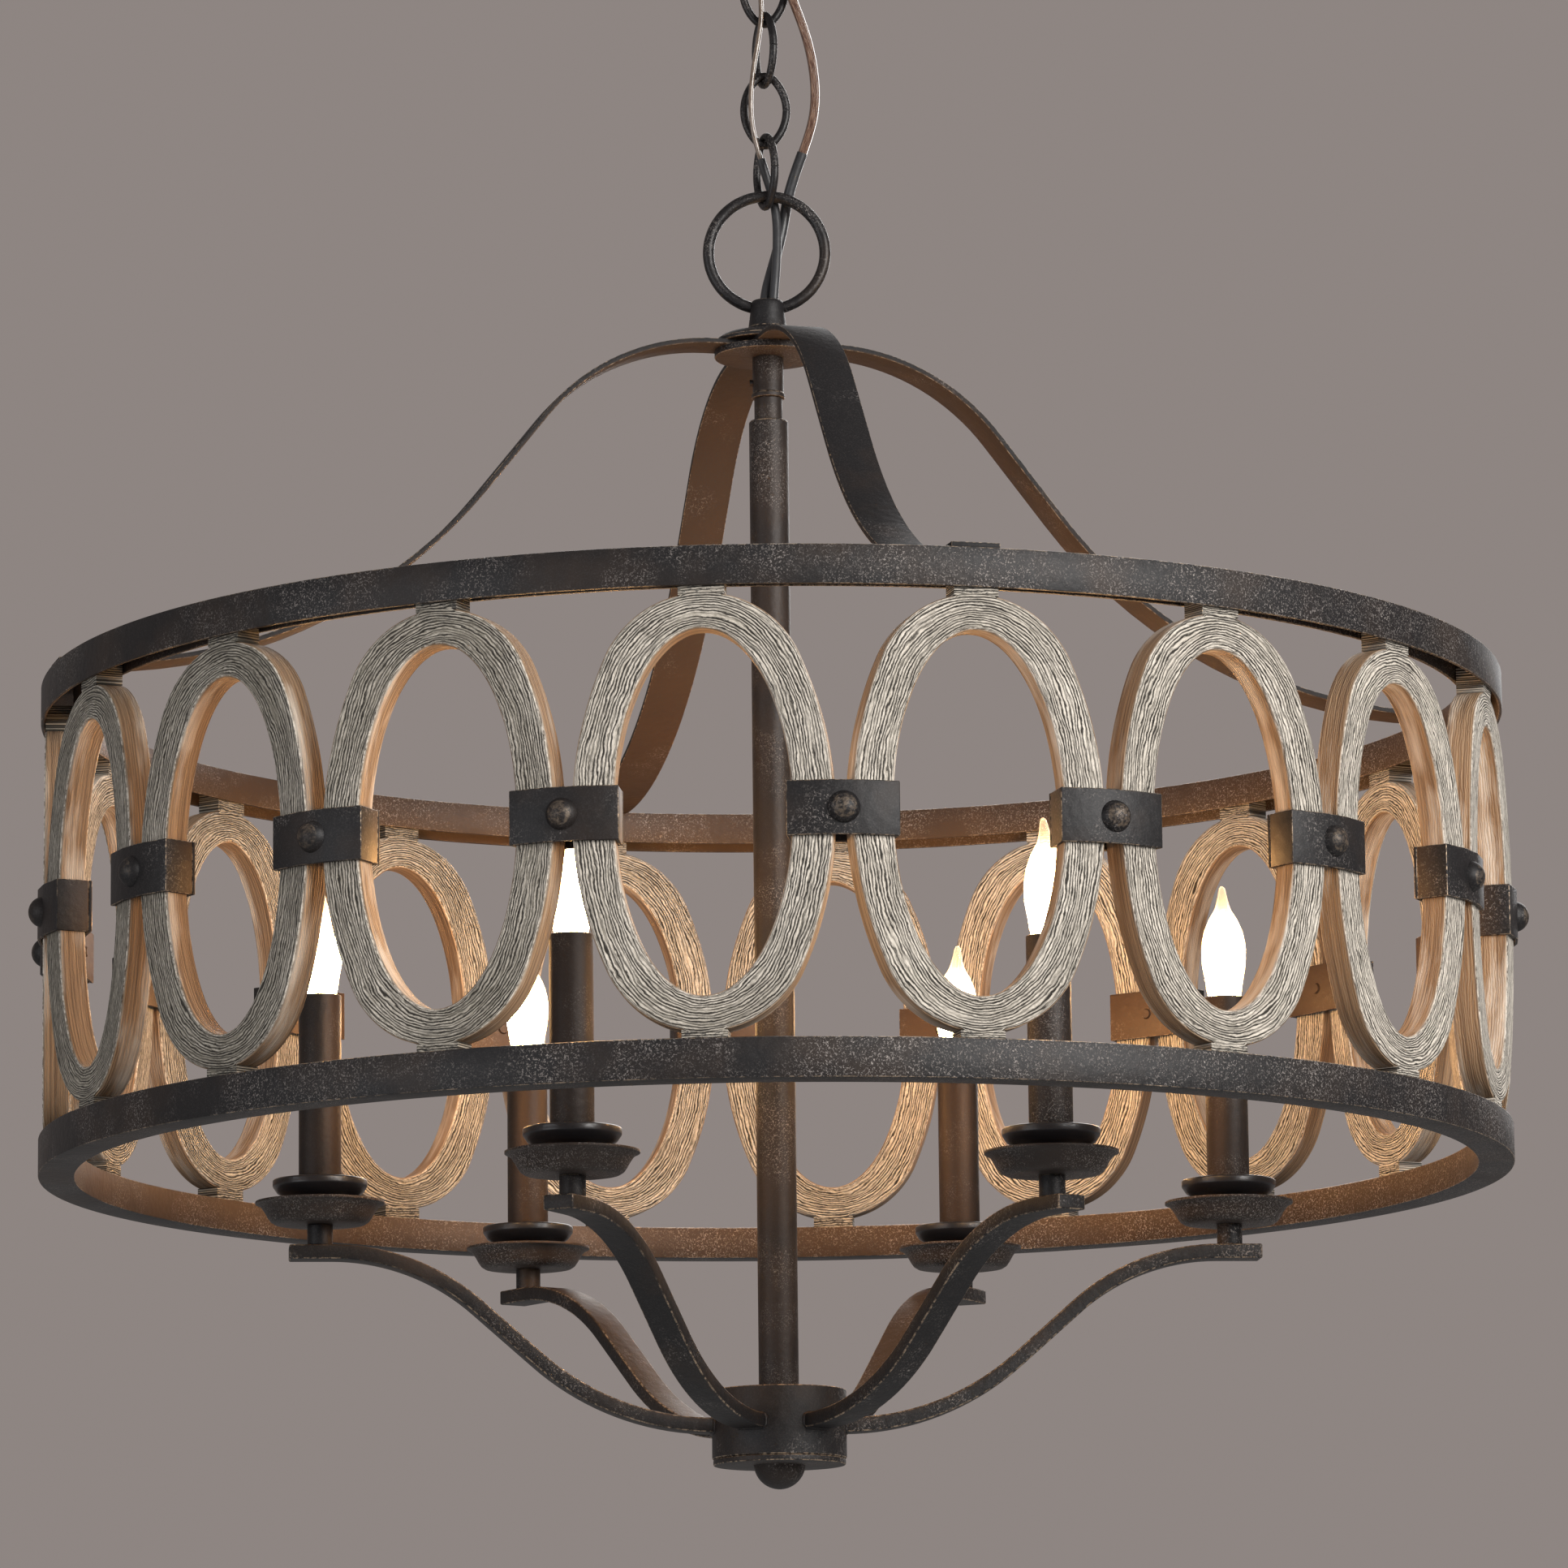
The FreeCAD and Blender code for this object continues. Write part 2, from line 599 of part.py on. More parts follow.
def pan_shape():
    """Flared drip pan, its underside at height zero."""
    bore = pipe_radius + hole_clearance
    inner_base = pan_base_radius - pan_corner
    corner_height = pan_corner * pan_corner_share
    outline = [(bore, 0), (inner_base, 0), (pan_base_radius, corner_height),
               (pan_rim_radius, pan_height - pan_sheet), (pan_rim_radius, pan_height),
               (pan_rim_radius - 2 * pan_sheet, pan_height),
               (pan_base_radius - pan_sheet, corner_height + pan_sheet),
               (inner_base, pan_sheet), (bore, pan_sheet)]
    return revolve(outline)


def cup_shape():
    """Shallow cup on a foot, its foot at height zero. The candle stands on its floor."""
    bore = pipe_radius + hole_clearance
    top = cup_top_above_pan_floor - pan_sheet
    lip = top - cup_lip
    cone = lip - cup_cone
    floor = top - cup_dish_depth
    outline = [(bore, 0), (cup_foot_radius, 0), (cup_foot_radius, cone), (cup_neck_radius, cone),
               (cup_rim_radius, lip), (cup_rim_radius, top - cup_sheet / 2),
               (cup_rim_radius - cup_sheet / 2, top), (cup_rim_radius - 2 * cup_sheet, top),
               (cup_neck_radius + cup_sheet, floor), (bore, floor)]
    return revolve(outline), floor


def bulb_shapes():
    """Flame shaped glass with an open neck, and the screw base that closes it. The glass seat is at zero."""
    belly_height = bulb_height * bulb_belly_share
    waist_height = belly_height + (bulb_height - belly_height) * bulb_waist_height_share
    outer = [V(bulb_neck_radius, 0, 0), V(bulb_glass_radius, 0, belly_height),
             V(bulb_tip_radius, 0, bulb_height)]
    outer_low = V((bulb_neck_radius + bulb_glass_radius) / 2 + bulb_glass_wall, 0,
                  belly_height * bulb_shoulder_share)
    outer_high = V(bulb_glass_radius * bulb_waist_share, 0, waist_height)
    inner = [V(point.x - bulb_glass_wall, 0, point.z) for point in outer]
    inner[2] = V(bulb_tip_radius / 4, 0, bulb_height - 2 * bulb_glass_wall)
    inner_low = V(outer_low.x - bulb_glass_wall, 0, outer_low.z)
    inner_high = V(outer_high.x - bulb_glass_wall, 0, outer_high.z)
    edges = [Part.Arc(outer[0], outer_low, outer[1]).toShape(),
             Part.Arc(outer[1], outer_high, outer[2]).toShape(),
             Part.LineSegment(outer[2], V(0, 0, bulb_height)).toShape(),
             Part.LineSegment(V(0, 0, bulb_height), V(0, 0, inner[2].z)).toShape(),
             Part.LineSegment(V(0, 0, inner[2].z), inner[2]).toShape(),
             Part.Arc(inner[2], inner_high, inner[1]).toShape(),
             Part.Arc(inner[1], inner_low, inner[0]).toShape(),
             Part.LineSegment(inner[0], outer[0]).toShape()]
    glass = Part.Face(Part.Wire(Part.__sortEdges__(edges))).revolve(V(0, 0, 0), V(0, 0, 1), 360)
    base = Part.makeCylinder(bulb_base_radius, bulb_base_height, V(0, 0, -bulb_base_height))
    return glass, base


def make_lights():
    """Stubs, drip pans, cups, candles, sockets, pipes and bulbs at the six arm ends."""
    bore = pipe_radius + hole_clearance
    stub = tube(stub_radius, bore, pan_floor - stub_height, pan_floor)
    pan = pan_shape()
    pan.translate(V(0, 0, pan_floor))
    cup, cup_floor = cup_shape()
    cup_base = pan_floor + pan_sheet
    cup.translate(V(0, 0, cup_base))
    candle_low = cup_base + cup_floor
    cup_top = pan_floor + cup_top_above_pan_floor
    candle_top = cup_top + candle_above_cup
    candle = tube(candle_radius, candle_radius - candle_wall, candle_low, candle_top)
    socket_top = candle_top - socket_below_candle_top
    socket_low = socket_top - socket_height
    socket = tube(socket_radius, bulb_base_radius + bulb_base_gap, socket_low + socket_floor, socket_top)
    floor_disc = tube(socket_radius, pipe_radius, socket_low, socket_low + socket_floor)
    socket = socket.fuse(floor_disc).removeSplitter()
    rod = tube(pipe_radius, pipe_bore, arm_end_height, socket_low + socket_floor / 2)
    glass, base = bulb_shapes()
    bulb_seat = socket_top + fit_gap
    pieces = {"stubs": stub, "drip_pans": pan, "cups": cup, "candles": candle, "sockets": socket,
              "candle_pipes": rod}
    azimuths = [light_first_azimuth + number * 360.0 / light_count for number in range(light_count)]
    for name, shape in pieces.items():
        shape.translate(V(light_circle, 0, 0))
        save(name, *[place(shape, azimuth) for azimuth in azimuths])
    for shape in (glass, base):
        shape.translate(V(light_circle, 0, bulb_seat))
    for number, azimuth in enumerate(azimuths):
        save("bulb_%d" % (number + 1), place(glass, azimuth), place(base, azimuth))
    print("bulb seat", round(bulb_seat, 2), "candle top", round(candle_top, 2))


def channel(top, opens_down):
    """Rolled channel hoop with a shorter inner wall. It opens towards the ovals, whose tabs stand in it."""
    inner = ring_radius - ring_width
    low = top - ring_height
    hoop = tube(ring_radius, inner, low, top)
    groove_low = low if opens_down else low + ring_wall
    groove_top = top - ring_wall if opens_down else top
    groove = tube(ring_radius - ring_wall, inner + ring_wall, groove_low, groove_top)
    edge = low if opens_down else top - inner_wall_short
    removed = tube(inner + ring_wall + fit_gap, inner - fit_gap, edge, edge + inner_wall_short)
    return hoop.cut(groove).cut(removed)


def oval_face(half_width, half_height):
    """Oval of two small end arcs and two large side arcs that meet without a corner."""
    end_radius = half_width * oval_end_share
    side_radius = (half_width ** 2 + half_height ** 2 - 2 * half_height * end_radius) / (
        2 * (half_width - end_radius))
    up = half_height - end_radius
    shift = side_radius - half_width
    lean = math.atan2(up, shift)
    corner_x = side_radius * math.cos(lean) - shift
    corner_y = side_radius * math.sin(lean)
    points = [V(corner_x, -corner_y, 0), V(half_width, 0, 0), V(corner_x, corner_y, 0), V(0, half_height, 0),
              V(-corner_x, corner_y, 0), V(-half_width, 0, 0), V(-corner_x, -corner_y, 0), V(0, -half_height, 0)]
    arcs = [Part.Arc(points[i], points[i + 1], points[(i + 2) % 8]).toShape() for i in (0, 2, 4, 6)]
    return Part.Face(Part.Wire(arcs))


def oval_shape():
    """Flat wooden oval with an elliptic hole and a tab at its top and bottom, built at +X."""
    half_width = oval_width / 2
    half_height = oval_height / 2
    facing = FreeCAD.Rotation(V(0, 1, 0), V(0, 0, 1), V(1, 0, 0), "XYZ")
    frame = FreeCAD.Placement(V(oval_back, 0, oval_middle), facing)

    body = oval_face(half_width, half_height).extrude(V(0, 0, oval_thickness))
    tabs = Part.makeBox(tab_width, 2 * (half_height + tab_shows + tab_depth), oval_thickness,
                        V(-tab_width / 2, -(half_height + tab_shows + tab_depth), 0))
    hole_up = half_height - oval_bar_end
    hole_across = half_width - oval_bar_side
    body = body.fuse(tabs).removeSplitter()
    curve = Part.Ellipse(V(0, 0, 0), hole_up, hole_across).toShape()
    curve.rotate(V(0, 0, 0), V(0, 0, 1), 90)
    hole = Part.Face(Part.Wire(curve)).extrude(V(0, 0, oval_thickness + 2 * fit_gap))
    hole.translate(V(0, 0, -fit_gap))
    body = body.cut(hole)
    body.Placement = frame.multiply(body.Placement)
    return body


def make_drum():
    """Two channel hoops with the ovals between them."""
    save("top_ring", channel(ring_top, True))
    save("bottom_ring", channel(low_ring_top, False))
    oval = oval_shape()
    trios = oval_count // 3
    for trio in range(trios):
        solids = []
        for member in range(3):
            number = trio * 3 + member
            solids.append(place(oval, first_rivet_azimuth + (number + 0.5) * oval_pitch))
        save("ovals_%d" % (trio + 1), *solids)


def clamp_point(side, distance, along):
    """Point in a clamp's own plan, from the distance and side place in the oval beside it."""
    radial = distance * math.cos(half_pitch) + along * math.sin(half_pitch)
    across = side * (distance * math.sin(half_pitch) - along * math.cos(half_pitch))
    return radial, across


def make_clamps():
    """Strap clamps that hold neighbouring ovals together, their back plates and rivets."""
    level = clamp_height / 2
    inner_edge = oval_width / 2 - oval_bar_side
    half_hole = (oval_height - 2 * oval_bar_end) / 2
    leg_near = inner_edge * math.sqrt(1 - (level / half_hole) ** 2) - fit_gap
    leg_far = leg_near - clamp_sheet
    front = oval_front + fit_gap
    wood_corner = clamp_point(1, oval_front, oval_width / 2)[0]
    flat_inner = wood_corner + fit_gap
    flat_outer = flat_inner + clamp_sheet
    back = clamp_point(1, oval_back, inner_edge)[0] - fit_gap - clamp_sheet / 2

    def leg_end(side, along):
        distance = (back - along * math.sin(half_pitch)) / math.cos(half_pitch)
        return clamp_point(side, distance, along)

    half_flat = clamp_flat_width / 2
    outline = [clamp_point(1, front + clamp_sheet, leg_far), (flat_outer, half_flat),
               (flat_outer, -half_flat), clamp_point(-1, front + clamp_sheet, leg_far),
               leg_end(-1, leg_far), leg_end(-1, leg_near),
               clamp_point(-1, front, leg_near), (flat_inner, -half_flat), (flat_inner, half_flat),
               clamp_point(1, front, leg_near), leg_end(1, leg_near), leg_end(1, leg_far)]
    low = oval_middle - level
    clamp = prism(outline, low, clamp_height)
    corner_x = outline[0][0]
    corner_y = abs(outline[0][1])

    def is_corner(edge):
        box = edge.BoundBox
        upright = box.XLength < fit_gap and box.YLength < fit_gap
        return upright and abs(box.XMin - corner_x) < fit_gap and abs(abs(box.YMin) - corner_y) < fit_gap

    clamp = round_edges(clamp, clamp_corner, is_corner)
    plate_width = 2 * leg_end(1, leg_far)[1]
    plate = Part.makeBox(clamp_sheet, plate_width, clamp_height, V(back - clamp_sheet, -plate_width / 2, low))
    through = rivet_shank_radius + hole_clearance
    bore = Part.makeCylinder(through, 2 * ring_width, V(back - clamp_sheet, 0, oval_middle), V(1, 0, 0))
    clamp = clamp.cut(bore)
    plate = plate.cut(bore)
    head_radius = (rivet_head_radius ** 2 + rivet_head_height ** 2) / (2 * rivet_head_height)
    ball = Part.makeSphere(head_radius, V(flat_outer + rivet_head_height - head_radius, 0, oval_middle))
    outward = V(1, 0, 0)
    seat = V(flat_outer, 0, oval_middle)
    head = ball.common(Part.makeCylinder(2 * head_radius, rivet_head_height, seat, outward))
    tail_start = back - clamp_sheet - rivet_tail_height
    start = V(tail_start, 0, oval_middle)
    shank = Part.makeCylinder(rivet_shank_radius, flat_outer - tail_start, start, outward)
    tail = Part.makeCylinder(rivet_tail_radius, rivet_tail_height, start, outward)
    rivet = head.fuse([shank, tail]).removeSplitter()
    azimuths = [first_rivet_azimuth + number * oval_pitch for number in range(oval_count)]
    save("clamp_straps", *[place(clamp, azimuth) for azimuth in azimuths])
    save("clamp_plates", *[place(plate, azimuth) for azimuth in azimuths])
    save("rivets", *[place(rivet, azimuth) for azimuth in azimuths])
    print("clamp width", round(2 * corner_y, 1), "rivet top radius", round(flat_outer + rivet_head_height, 1))


def make_cords():
    """Two cords that run beside the chain, each with a shrink sleeve over its lower stretch."""
    save("left_cord", cord_tube("left_cord", left_cord_route, cord_left_diameter))
    save("left_cord_sleeve", cord_tube("left_cord_sleeve", left_sleeve_route, sleeve_left_diameter))
    save("right_cord", cord_tube("right_cord", right_cord_route, cord_right_diameter))
    save("right_cord_sleeve", cord_tube("right_cord_sleeve", right_sleeve_route, sleeve_right_diameter))


os.makedirs(OUT, exist_ok=True)
make_ceiling_fitting()
ring_bearing = make_chain()
plate_bottom = make_hanger(ring_bearing)
make_stem(plate_bottom)
make_hub()
make_arms()
make_lights()
make_drum()
make_clamps()
make_cords()
print("plate underside", round(plate_bottom, 2), "hub top", round(hub_top, 2))
print("pan floor", round(pan_floor, 2))
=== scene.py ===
"""Dresses the chandelier: iron hoops, weathered wooden ovals, candle lights, chain and cords.

Metres, in the frame's own axes: the origin is on the ceiling, +Z is up and -Y faces the camera.
Azimuths are counted from -Y towards +X, so a shape built at azimuth 0 stands at y = -radius.
"""
import json
import math

import bmesh
import bpy
from bpy.props import FloatProperty, FloatVectorProperty, IntProperty, PointerProperty
from mathutils import Euler, Matrix, Vector, noise


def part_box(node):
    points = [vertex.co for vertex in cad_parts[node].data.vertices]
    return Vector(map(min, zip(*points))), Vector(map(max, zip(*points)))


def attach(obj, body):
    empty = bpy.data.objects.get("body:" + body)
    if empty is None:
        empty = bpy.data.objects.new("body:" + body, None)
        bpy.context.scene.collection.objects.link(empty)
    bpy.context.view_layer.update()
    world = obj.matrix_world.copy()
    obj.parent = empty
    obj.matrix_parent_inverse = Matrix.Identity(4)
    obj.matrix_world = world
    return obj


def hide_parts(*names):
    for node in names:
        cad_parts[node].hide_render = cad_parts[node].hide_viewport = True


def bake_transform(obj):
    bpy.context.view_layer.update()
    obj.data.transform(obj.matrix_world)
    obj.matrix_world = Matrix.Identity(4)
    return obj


bl_info = {
    "name": "Drum chandelier",
    "version": (1, 0, 0),
    "blender": (4, 5, 0),
    "location": "3D View > Sidebar > Chandelier",
    "description": "Builds the finished look of a drum chandelier over its frame",
    "category": "Object",
}

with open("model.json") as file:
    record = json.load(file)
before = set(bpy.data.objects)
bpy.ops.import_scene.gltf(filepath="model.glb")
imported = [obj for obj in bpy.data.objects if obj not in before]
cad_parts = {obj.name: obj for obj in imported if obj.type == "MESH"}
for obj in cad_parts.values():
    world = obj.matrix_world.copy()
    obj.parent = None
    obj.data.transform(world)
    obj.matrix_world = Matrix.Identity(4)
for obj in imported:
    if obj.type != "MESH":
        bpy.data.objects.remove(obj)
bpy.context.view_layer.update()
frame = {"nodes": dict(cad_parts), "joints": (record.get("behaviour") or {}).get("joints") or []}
MM = 0.001


def node_low(node):
    """Lowest height of a frame node."""
    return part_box(node)[0][2]


def node_high(node):
    """Highest height of a frame node."""
    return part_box(node)[1][2]


def node_span(node):
    """Lowest and highest point of a frame node."""
    return node_low(node), node_high(node)


def node_radius(node):
    """Largest distance of a round frame node from its axis along X."""
    low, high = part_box(node)
    return (high[0] - low[0]) / 2


RING_TOP = node_high("top_ring")
RING_FOOT = node_low("bottom_ring")
RING_RADIUS = node_radius("top_ring")
OVAL_MIDDLE = (RING_TOP + RING_FOOT) / 2
OVAL_COUNT = 18
OVAL_STEP = math.radians(360 / OVAL_COUNT)
FIRST_RIVET = math.radians(5)
LIGHT_COUNT = 6
LIGHT_STEP = math.radians(360 / LIGHT_COUNT)
FIRST_LIGHT = math.radians(35)
STRAP_COUNT = 4
STRAP_STEP = math.radians(360 / STRAP_COUNT)
FIRST_STRAP = math.radians(15)
# Places of the copies round the axis, and the seed of each ring's random shades
AT_RIVETS = {"count": OVAL_COUNT, "first": FIRST_RIVET, "step": OVAL_STEP}
AT_LIGHTS = {"count": LIGHT_COUNT, "first": FIRST_LIGHT, "step": LIGHT_STEP}
SEEDS = {"arm_welds": 5, "clamps": 11, "clamp_backs": 12, "ball_rivets": 13, "light_stubs": 21, "pans": 22,
         "small_cups": 23, "candle_covers": 24}
LINK_PIVOTS = [joint["pos_m"][2] for joint in frame["joints"] if joint["type"] == "hinge"]


# Sizes and colours that a user may change

def length(name, value_mm, text):
    """Length property with its default in millimetres."""
    return FloatProperty(name=name, description=text, default=value_mm * MM, min=0, unit="LENGTH", precision=4)


def turn_angle(name, degrees, text):
    """Angle property with its default in degrees."""
    return FloatProperty(name=name, description=text, default=math.radians(degrees), subtype="ANGLE")


def colour(name, value, text):
    """Colour property."""
    return FloatVectorProperty(name=name, description=text, default=value, size=3, min=0, max=1,
                               subtype="COLOR")


class IronLook(bpy.types.PropertyGroup):
    """Colours of the dark hammered iron, with the painted brown light of the bulbs on its inner faces."""
    slate: colour("Slate", (0.007, 0.0065, 0.0075), "Darkest tone of the iron")
    brown: colour("Brown", (0.023, 0.0145, 0.0105), "Brown patches in the iron")
    mottle: colour("Mottle", (0.036, 0.031, 0.031), "Fine paler grains all over the iron")
    # Painted light: the brown of the bulbs' glow on the iron faces that look towards them
    inside: colour("Inside", (0.06, 0.031, 0.015), "Brown of the faces towards the lights")
    fleck: colour("Fleck", (0.5, 0.45, 0.42), "Bright specks rubbed through the finish")
    worn: colour("Worn edge", (0.45, 0.34, 0.24), "Bare metal on the worn edges")
    smooth: colour("Smooth black", (0.016, 0.015, 0.017), "Satin black of the small cups")


class WoodLook(bpy.types.PropertyGroup):
    """Colours of the weathered wood."""
    groove: colour("Groove", (0.028, 0.023, 0.017), "Dark bottom of the grain")
    grey: colour("Grey", (0.25, 0.22, 0.172), "Weathered grey between the grooves")
    # Whitewash colour, also used for painted light on the +X side of the ovals
    whitewash_and_right_light: colour("Whitewash", (0.78, 0.705, 0.61), "Whitewash on the raised grain")
    raw: colour("Raw side", (0.36, 0.23, 0.13), "Sawn sides of the ovals")
    grain_pitch: length("Grain pitch", 1.45, "Distance between two grooves")


class HoopSizes(bpy.types.PropertyGroup):
    """Channel hoops."""
    width: length("Width", 20.0, "Radial width of a hoop")
    wall: length("Wall", 2.2, "Thickness of the channel's walls")
    inner_short: length("Inner wall gap", 2.4, "How much the inner wall is shorter at its mouth")
    edge: length("Edge", 0.7, "Rounding of the edges")
    segments: IntProperty(name="Segments", description="Facets round a hoop", default=288, min=32)


class OvalSizes(bpy.types.PropertyGroup):
    """Wooden ovals."""
    half_width: length("Half width", 66.25, "Half of an oval's width")
    half_height: length("Half height", 112.1, "Half of an oval's height without its tabs")
    end_radius: length("End radius", 54.0, "Outer radius at the top and bottom of an oval")
    bar_side: length("Bar at the sides", 21.2, "Width of the bar at the oval's sides")
    bar_end: length("Bar at the ends", 18.5, "Width of the bar at the top and bottom")
    thickness: length("Thickness", 15.0, "Thickness of the wood")
    set_back: length("Set back", 2.67, "How far the front lies behind the hoops' outside")
    edge: length("Edge", 1.1, "Rounding of the wood's edges")
    relief: length("Relief", 0.3, "Height of the weathered relief")
    tab_width: length("Tab width", 23.4, "Width of the tabs in the hoops")
    tab_reach: length("Tab reach", 13.2, "How far a tab runs past the oval")


class ClampSizes(bpy.types.PropertyGroup):
    """Clamps and rivets between the ovals."""
    height: length("Height", 28.0, "Height of a clamp")
    sheet: length("Sheet", 2.0, "Thickness of its sheet")
    gap: length("Gap", 0.3, "Gap between the clamp and the wood")
    flat: length("Flat", 18.0, "Width of the flat under the rivet")
    edge: length("Edge", 0.55, "Rounding of the clamp's edges")
    ball_radius: length("Ball radius", 8.3, "Radius of the rivet's head")
    ball_height: length("Ball height", 6.5, "How far the head stands out")
    tail_radius: length("Tail radius", 3.2, "Radius of the rivet's inner end")
    tail_height: length("Tail height", 1.2, "Height of the rivet's inner end")


class StrapSizes(bpy.types.PropertyGroup):
    """Flat straps on top and hollow arms below."""
    strap_width: length("Strap width", 26.0, "Width of the straps")
    strap_thickness: length("Strap thickness", 3.0, "Thickness of the straps")
    strap_flat: length("Strap flat", 34.0, "Radius where a strap starts to bend down")
    strap_top_bend: length("Top bend", 123.89, "Bend radius at the top of a strap")
    strap_foot_bend: length("Foot bend", 280.82, "Bend radius at the foot of a strap")
    strap_foot: length("Strap foot", 386.0, "Radius where a strap is level again")
    arm_width: length("Arm width", 17.5, "Width of the arms")
    arm_thickness: length("Arm thickness", 8.0, "Thickness of the arms")
    arm_root: length("Arm root", 36.5, "Radius where an arm leaves the hub")
    arm_low_bend: length("Low bend", 145.0, "Bend radius near the hub")
    arm_high_bend: length("High bend", 120.0, "Bend radius near the light")
    arm_bend_end: length("Arm bend end", 245.0, "Radius where an arm is level again")
    arm_tip: length("Arm tip", 268.7, "Radius of an arm's tip")
    edge: length("Edge", 0.6, "Rounding of the edges")


class LightSizes(bpy.types.PropertyGroup):
    """Candle lights."""
    circle: length("Circle", 251.7, "Radius of the circle of lights")
    candle_radius: length("Candle radius", 11.7, "Radius of the candle covers")
    candle_wall: length("Candle wall", 1.3, "Wall of the candle covers")
    bulb_radius: length("Bulb radius", 12.4, "Largest radius of the bulb's glass")
    glow_gap: length("Glow gap", 1.5, "Height of the glow above the bulb's seat")
    glow_share: FloatProperty(name="Glow share", description="Width of the glow beside the glass", default=0.84)
    glow_reach: FloatProperty(name="Glow reach", description="Height of the glow beside the glass", default=0.8)
    bulb_lean: length("Bulb lean", 2.4, "How far the flame tip leans")
    glow_colour: colour("Glow", (1.0, 0.54, 0.2), "Colour of the lit bulbs")
    glow: FloatProperty(name="Glow strength", description="Strength of the lit bulbs", default=140.0, min=0)


class HangerSizes(bpy.types.PropertyGroup):
    """Hanger ring, cap, stem and hub."""
    ring_wire: length("Ring wire", 6.4, "Wire of the hanger ring")
    ring_diameter: length("Ring diameter", 72.2, "Outside diameter of the hanger ring")
    boss_radius: length("Boss radius", 10.0, "Radius of the boss on the cap")
    boss_bore: length("Boss bore", 7.0, "Radius of the hole for the cords")
    boss_depth: length("Boss depth", 13.0, "Depth of the hole for the cords")
    cap_rim: length("Cap rim", 2.2, "Height of the cap's rim")
    cap_shoulder: length("Cap shoulder", 26.0, "Radius of the cap's shoulder")
    cap_shoulder_rise: length("Shoulder rise", 5.0, "Height of the shoulder above the cap's underside")
    cap_crown_rise: length("Crown rise", 7.6, "Height of the boss's foot above the cap's underside")
    pipe: length("Pipe", 5.1, "Radius of the pipe holes")
    stem_wall: length("Stem wall", 1.5, "Wall of the stem tube")
    bead: length("Bead", 2.6, "Height of the coupling's bead")
    edge: length("Edge", 0.8, "Rounding of the edges")
    weld: length("Weld", 1.1, "Radius of the weld bead round an arm's root")


class ChainSizes(bpy.types.PropertyGroup):
    """Chain links."""
    link_length: length("Link length", 45.0, "Outside length of a link")
    link_width: length("Link width", 28.5, "Outside width of a link")
    wire: length("Wire", 4.5, "Wire of a link")
    apex: length("Apex", 6.5, "Radius of a link's ends")
    slit: length("Slit", 0.7, "Opening in a link's side")
    hammer: length("Hammer", 0.12, "Depth of the hammer marks")


class CordSizes(bpy.types.PropertyGroup):
    """Cords and their shrink sleeves."""
    left: length("Left cord", 2.8, "Diameter of the left cord")
    right: length("Right cord", 5.2, "Diameter of the right cord")
    left_sleeve: length("Left sleeve", 5.0, "Diameter of the left sleeve")
    right_sleeve: length("Right sleeve", 6.0, "Diameter of the right sleeve")


class StageSettings(bpy.types.PropertyGroup):
    """Camera, lamps and backdrop."""
    camera_distance: length("Camera distance", 4071.0, "Distance of the camera in front of the axis")
    camera_below_ring: length("Camera below ring", 780.5, "Height of the camera below the top hoop")
    focal: FloatProperty(name="Focal length", description="Focal length in mm", default=170.35, min=20)
    pitch: turn_angle("Pitch", 10.162, "Upward tilt")
    yaw: turn_angle("Yaw", -0.091, "Turn to the left")
    roll: turn_angle("Roll", -0.63, "Roll of the camera")
    backdrop: colour("Backdrop", (0.27, 0.235, 0.222), "Backdrop behind the light")
    paint: colour("Floor paint", (0.6, 0.58, 0.56), "Pale floor")
    floor_drop: length("Floor", 4400.0, "Height of the room")


class Chandelier(bpy.types.PropertyGroup):
    """All settings of the chandelier."""
    iron: PointerProperty(type=IronLook)
    wood: PointerProperty(type=WoodLook)
    hoop: PointerProperty(type=HoopSizes)
    oval: PointerProperty(type=OvalSizes)
    clamp: PointerProperty(type=ClampSizes)
    strap: PointerProperty(type=StrapSizes)
    light: PointerProperty(type=LightSizes)
    hanger: PointerProperty(type=HangerSizes)
    chain: PointerProperty(type=ChainSizes)
    cord: PointerProperty(type=CordSizes)
    stage: PointerProperty(type=StageSettings)


# Shader maths

class Value:
    """One output of a shader node, so that shader maths reads as an expression."""

    def __init__(self, finish, socket):
        self.finish = finish
        self.socket = socket

    def maths(self, operation, *others, clamp=False):
        node = self.finish.tree.nodes.new("ShaderNodeMath")
        node.operation = operation
        node.use_clamp = clamp
        for slot, value in zip(node.inputs, (self, *others)):
            self.finish.feed(slot, value)
        return Value(self.finish, node.outputs[0])

    def __add__(self, other):
        return self.maths("ADD", other)

    def __mul__(self, other):
        return self.maths("MULTIPLY", other)

    def __sub__(self, other):
        return self.maths("SUBTRACT", other)

    def __rsub__(self, other):
        return self.maths("MULTIPLY", -1).maths("ADD", other)

    def __pow__(self, other):
        return self.maths("POWER", other)

    __radd__ = __add__
    __rmul__ = __mul__

    def limited(self):
        """The value kept from 0 to 1."""
        return self.maths("ADD", 0, clamp=True)

    def between(self, low, high):
        """0 below low, 1 above high and a straight ramp between them."""
        return ((self - low) * (1 / (high - low))).limited()


